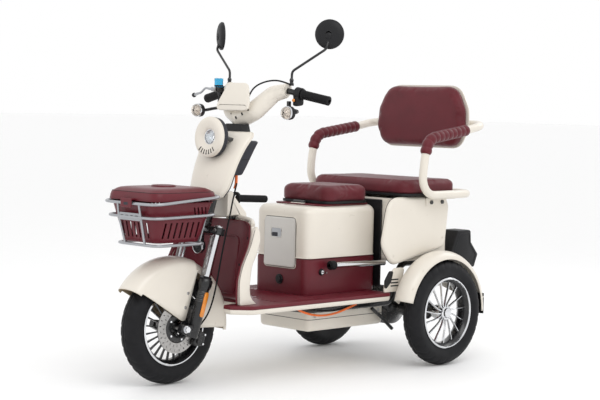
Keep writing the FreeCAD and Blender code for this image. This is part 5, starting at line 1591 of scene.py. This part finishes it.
# ---------------------------------------------------------------- rear body
def rear_body_look():
    """Side panels, rear bin, arch panels and tail housings with their lamps."""
    outline = corner_ring([(905, 392, 60), (1212, 452, 40), (1232, 620, 60), (1205, 654, 30),
        (880, 654, 70), (842, 470, 70)], 9)
    for side, tag in SIDES:

        def place(u, v, w):
            return (side * (236.3 + w), u, v)
        add("side_panel_" + tag, puffed(outline, place, 17, 15, 3, 6), cream_gloss,
            node=left_only(side, "rear_side_panels"))
        ledge = [(side * 238, y, z) for y, z in shrink_ring(outline, -0.6)]
        add("panel_gap_" + tag, closed_tube(ledge, 1.0, 6), dark_gap)
        screws = [lathe([(0, 0), (4.6, 0), (4.6, 1.4), (0, 1.6)], (side * 254.6, y, z),
            (side, 0, 0), 20) for y, z in ((905, 430), (1190, 490))]
        add("panel_screws_" + tag, screws, cream_paint)
    body = []
    for z, inset in ((403, 6), (408, 1), (416, 0), (640, 0), (646, 1.5), (646.8, 5), (645, 8),
            (410, 8)):
        body.append([(x, y, z) for x, y in shrink_ring(box_ring(-232, 951, 232, 1245, 24, 7),
            inset)])
    add("rear_bin_look", loft(body), cream_gloss, node="rear_bin")
    dark_front = block((-150, 941, 300), (150, 949, 640))
    add("bin_recess", dark_front, black_plastic, bevel=4)
    arch = corner_ring([(868, 291, 6), (960, 291, 8), (980, 382, 12), (925, 382, 16),
        (872, 336, 16)], 6)
    for side, tag in SIDES:
        add("arch_panel_" + tag, loft(stack(arch, ((238, 0), (243.6, 0), (245.4, 1), (246, 3)),
            "x", side)), cream_gloss)
        vents = [loft(stack(box_ring(900, z0, 944, z0 + 5, 2, 4), (244, 246.6), "x", side))
            for z0 in (312, 324, 336)]
        add("arch_vents_" + tag, vents, dark_gap)
    tail = corner_ring([(1252, 428, 6), (1290, 512, 8), (1372, 512, 12), (1376, 462, 6),
        (1420, 412, 10), (1398, 360, 8), (1290, 372, 8)], 5)
    inner = corner_ring([(1272, 430, 5), (1300, 498, 8), (1362, 498, 8), (1366, 456, 5),
        (1404, 410, 8), (1388, 374, 6), (1300, 384, 6)], 5)
    for side, tag in SIDES:
        rings = stack(tail, ((166.4, 5), (169, 1), (172, 0), (243, 0), (247.6, 1.6), (249.8, 6)),
            "x", side)
        add("tail_look_" + tag, loft(rings), black_plastic, node=left_only(side, "tail_housing"))
        add("tail_bead_" + tag, closed_tube([(side * 249.4, y, z) for y, z in inner], 1.6, 8),
            black_plastic)
        slope = Vector((0, 44, -50)).normalized()
        out = Vector((0, 50, 44)).normalized()
        base = Vector((side * 208, 1398, 437))
        lamp_ring = box_ring(-24, -26, 24, 26, 8, 5)
        rings = []
        for depth, inset in ((-6, 0), (1.5, 0), (3.4, 1.6), (4.2, 5)):
            rings.append([base + Vector((u, 0, 0)) + slope * v + out * depth
                for u, v in shrink_ring(lamp_ring, inset)])
        add("tail_lamp_" + tag, loft(rings), red_lens)
    add("tail_bridge_look", block((-165.4, 1300.4, 376.4), (165.4, 1323.6, 435.6)), black_plastic,
        bevel=4)
    lamp = stack(box_ring(-92, 389, 92, 423, 8, 5), ((1322, 0), (1326, 0), (1329, 2), (1330, 7)),
        "y")
    add("tail_bar_lamp", loft(lamp), red_lens)


ARM = [(0, 1306, 663), (303, 1306, 663), (303, 1000, 663), (306, 1010, 800), (303, 1034, 880),
    (298, 1279, 916), (300, 1385, 936), (0, 1385, 936)]
ARM_BENDS = [0, 60, 70, 400, 60, 500, 60, 0]


def arc_route(points, radii, steps=10):
    """Route with circular bends of its own radius at every corner."""
    pts = [Vector(p) for p in points]
    out = [pts[0]]
    for before, here, after, radius in zip(pts, pts[1:], pts[2:], radii[1:]):
        a, b = ((before - here).normalized(), (after - here).normalized())
        half = a.angle(b) / 2
        reach = radius / math.tan(half)
        middle = here + (a + b).normalized() * (radius / math.sin(half))
        start, end = (here + a * reach, here + b * reach)
        for k in range(steps + 1):
            arm = (start - middle).normalized().slerp((end - middle).normalized(), k / steps)
            out.append(middle + arm.normalized() * radius)
    out.append(pts[-1])
    return out


def arms_look():
    """Arm frame with its gathered sleeves, brackets and bolts."""
    half = arc_route(ARM, ARM_BENDS)
    for side, tag in SIDES:
        route = [(side * p.x, p.y, p.z) for p in half]
        tube("arm_tube_" + tag, route, 16, cream_gloss, "chassis", sides=28,
            node=left_only(side, "arm_frame"))
        sleeve = arc_route([(305.6, 1015.5, 822), (303, 1034, 880), (298.2, 1268, 914.4)],
            [0, 60, 0], 14)
        line = resample([(side * p.x, p.y, p.z) for p in sleeve], 150)
        ribs = 11

        def radius(share):
            """Gathered leather: soft ribs, tucked in at both ends."""
            wave = abs(math.sin(math.pi * (share * ribs + 0.02)))
            ends = min(share / 0.03, (1 - share) / 0.03, 1)
            return 17.2 + (2.4 + 3.0 * wave ** 0.6) * ends ** 0.5
        add("arm_sleeve_look_" + tag, sweep(line, radius, 40), maroon_leather,
            node=left_only(side, "arm_sleeves"))
        plate = block((side * 280 - 21.6, 1084, 645.4), (side * 280 + 21.6, 1204, 649.8))
        lip = block((side * 255.5 - 2.3, 1084, 616.4), (side * 255.5 + 2.3, 1204, 650))
        add("arm_bracket_" + tag, [plate, lip], cream_paint, bevel=1.2)
        bolts = [lathe([(0, 0), (8.6, 0), (8.6, 4.4), (7, 6), (0, 6)], (side * 257.8, y, 631),
            (side, 0, 0), 6) for y in (1112, 1176)]
        add("arm_bolts_" + tag, bolts, black_paint)


rear_body_look()
arms_look()

# ---------------------------------------------------------------- frame and wiring
RAIL_X = 170


def chassis_look():
    """Painted frame tubes, rear axle with its motor, axle plates and the side stand link."""
    spine = bent_route([(0, 250, 640), (0, 300, 610), (0, 318, 540), (0, 326, 320), (0, 350, 240),
        (0, 520, 240)], 40)
    tube("spine_look", spine, 17, black_paint, "chassis", sides=24, node="main_frame")
    head = [(18, -3), (25.6, -3), (26, -1), (26, 8), (24, 10), (24, 130), (26, 132), (26, 146),
        (18, 146)]
    add("head_tube_look", lathe(head, on_axis(0, 0, 4), AXIS_UP, 44), black_paint)
    for side, tag in SIDES:
        rail = bent_route([(side * 20, 520, 240), (side * 150, 540, 240),
            (side * RAIL_X, 600, 240), (side * RAIL_X, 985, 240), (side * RAIL_X, 1040, 388),
            (side * RAIL_X, 1250, 388)], 45)
        tube("side_rail_" + tag, rail, 13, black_paint, "chassis", sides=20)
        plate = corner_ring([(WHEELBASE - 52, 196, 12), (WHEELBASE + 44, 196, 12),
            (WHEELBASE + 30, 376, 10), (WHEELBASE - 60, 376, 10)], 5)
        add("axle_plate_" + tag, loft(stack(plate, (196.3, 203.7), "x", side)), black_paint,
            bevel=1)
        bolts = [lathe([(0, 0), (8, 0), (8, 5), (0, 6)], (side * 204, WHEELBASE + y, z),
            (side, 0, 0), 6) for y, z in ((-34, 240), (20, 240), (-38, 340))]
        add("axle_plate_bolts_" + tag, bolts, steel)
    axle = [(0, -258), (20, -258), (34, -250), (34, -96), (46, -84), (72, -66), (74, -60),
        (74, 60), (72, 66), (46, 84), (34, 96), (34, 250), (20, 258), (0, 258)]
    add("rear_axle_look", lathe(axle, (0, WHEELBASE, WHEEL_HEIGHT), (1, 0, 0), 64), black_paint,
        node="rear_axle_housing")
    fins = [lathe([(72, x), (76, x + 1.5), (76, x + 4.5), (72, x + 6)],
        (0, WHEELBASE, WHEEL_HEIGHT), (1, 0, 0), 64) for x in range(-54, 50, 13)]
    add("motor_fins", fins, black_paint)
    link = bent_route([(152, 900, 218), (153, 960, 176), (152, 1018, 130)], 20)
    tube("stand_link", link, 7, black_paint, "chassis", sides=16)


def wiring_look():
    """Brake hose, handlebar cable and the two leads under the floor."""
    hose = [(92, 232, 716), (96, 214, 670), (98, 196, 600), (99, 176, 530), (100, 158, 460),
        (101, 142, 390), (101, 126, 320), (96, 108, 262), (82, 94, 226), (64, 84, 202)]
    curve_cable("brake_hose_look", hose, 3.0, black_rubber, "fork_lower", "brake_hose")
    cable = [(48, 318, 1018), (66, 314, 1044), (92, 316, 1068), (124, 332, 1084),
        (156, 352, 1090), (178, 376, 1084), (192, 398, 1074)]
    curve_cable("switch_cable_look", cable, 3.0, black_rubber, "steering", "control_cables")
    loom = [(192, 457, 251), (192, 494, 234), (192, 573, 218), (192, 653, 221), (192, 723, 237),
        (190, 770, 249)]
    curve_cable("floor_loom_look", loom, 4.0, orange_sleeve, "chassis", "floor_cable")
    second = [(184, 520, 247), (185, 600, 232), (186, 680, 231), (186, 760, 249)]
    curve_cable("floor_lead", second, 2.4, black_rubber, "chassis")


def curve_cable(name, points, radius, surface, body, node=None):
    """Bevelled spline through a held cable's route."""
    curve = bpy.data.curves.new(name, "CURVE")
    curve.dimensions = "3D"
    curve.bevel_depth = radius * MM
    curve.bevel_resolution = 6
    curve.use_fill_caps = True
    line = curve.splines.new("NURBS")
    line.points.add(len(points) - 1)
    for spot, p in zip(line.points, points):
        spot.co = (*at(p), 1)
    line.order_u = 3
    line.use_endpoint_u = True
    line.resolution_u = 12
    curve.materials.append(surface)
    piece = bpy.data.objects.new(name, curve)
    bpy.context.collection.objects.link(piece)
    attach(piece, body)
    if node:
        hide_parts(node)
    return piece


def horn_look():
    """Round horn on its bracket, fork crown, steerer and stanchions."""
    centre = Vector((30, 102, 491))
    can = [(0, 24), (12, 24), (14, 21), (24, 19), (26.6, 15), (27, 10), (27, 3), (25.4, 0.6),
        (21, 0.2), (20, 1.8), (12, 2.4), (10, 0.8), (0, 0.6)]
    add("horn_look", lathe(can, centre, (0, 1, 0), 56), black_plastic, "steering")
    ring = [(25, 0.4), (27.4, 0.9), (27.4, 4), (26, 4)]
    add("horn_trim", lathe(ring, centre, (0, 1, 0), 56), chrome, "steering")
    arm = block((24, 118, 510), (36, 130, 534))
    add("horn_arm", arm, black_paint, "steering", bevel=1.5)
    plate = corner_ring([(-104, -20, 18), (-40, -24, 10), (40, -24, 10), (104, -20, 18),
        (104, 20, 18), (30, 26, 10), (-30, 26, 10), (-104, 20, 18)], 6)
    rings = [[on_axis(u, v, z) for u, v in shrink_ring(plate, inset)]
        for z, inset in ((-30, 2), (-28, 0), (-6, 0), (-4, 2))]
    add("crown_look", loft(rings), black_paint, "steering", node="fork_crown")
    add("steerer_look", rod(on_axis(0, 0, -30), on_axis(0, 0, 186), 15, 32), steel, "steering")
    for side, tag in SIDES:
        leg = [(0, -300), (14, -300), (14, -31), (0, -31)]
        add("stanchion_" + tag, lathe(leg, on_axis(side * LEG_X, 0, 0), AXIS_UP, 40), chrome,
            "steering", node=left_only(side, "stanchions"))
        cap = [(0, -4), (17, -4), (17, -1), (15, 1.2), (9, 1.4), (9, 4), (0, 4)]
        add("crown_cap_" + tag, lathe(cap, on_axis(side * LEG_X, 0, 0), AXIS_UP, 36), chrome,
            "steering")
        bolt = [on_axis(side * 88, -20, -17), on_axis(side * 88, -27, -17)]
        add("crown_bolt_" + tag, rod(bolt[0], bolt[1], 6, 6), steel, "steering")


chassis_look()
wiring_look()
horn_look()

# ---------------------------------------------------------------- studio floor
STUDIO_REACH = 60


def studio_floor():
    """Pale floor that reaches far past the camera."""
    mesh = bpy.data.meshes.new("studio_floor")
    mesh.from_pydata([(x * STUDIO_REACH, y * STUDIO_REACH, 0) for x, y in ((-1, -1), (1, -1),
        (1, 1), (-1, 1))], [], [(0, 1, 2, 3)])
    floor = bpy.data.objects.new("studio_floor", mesh)
    mesh.materials.append(material("pale_floor", (0.96, 0.96, 0.96), 0.6, mottle=0.005))
    bpy.context.collection.objects.link(floor)


studio_floor()
place_camera()
light_studio()
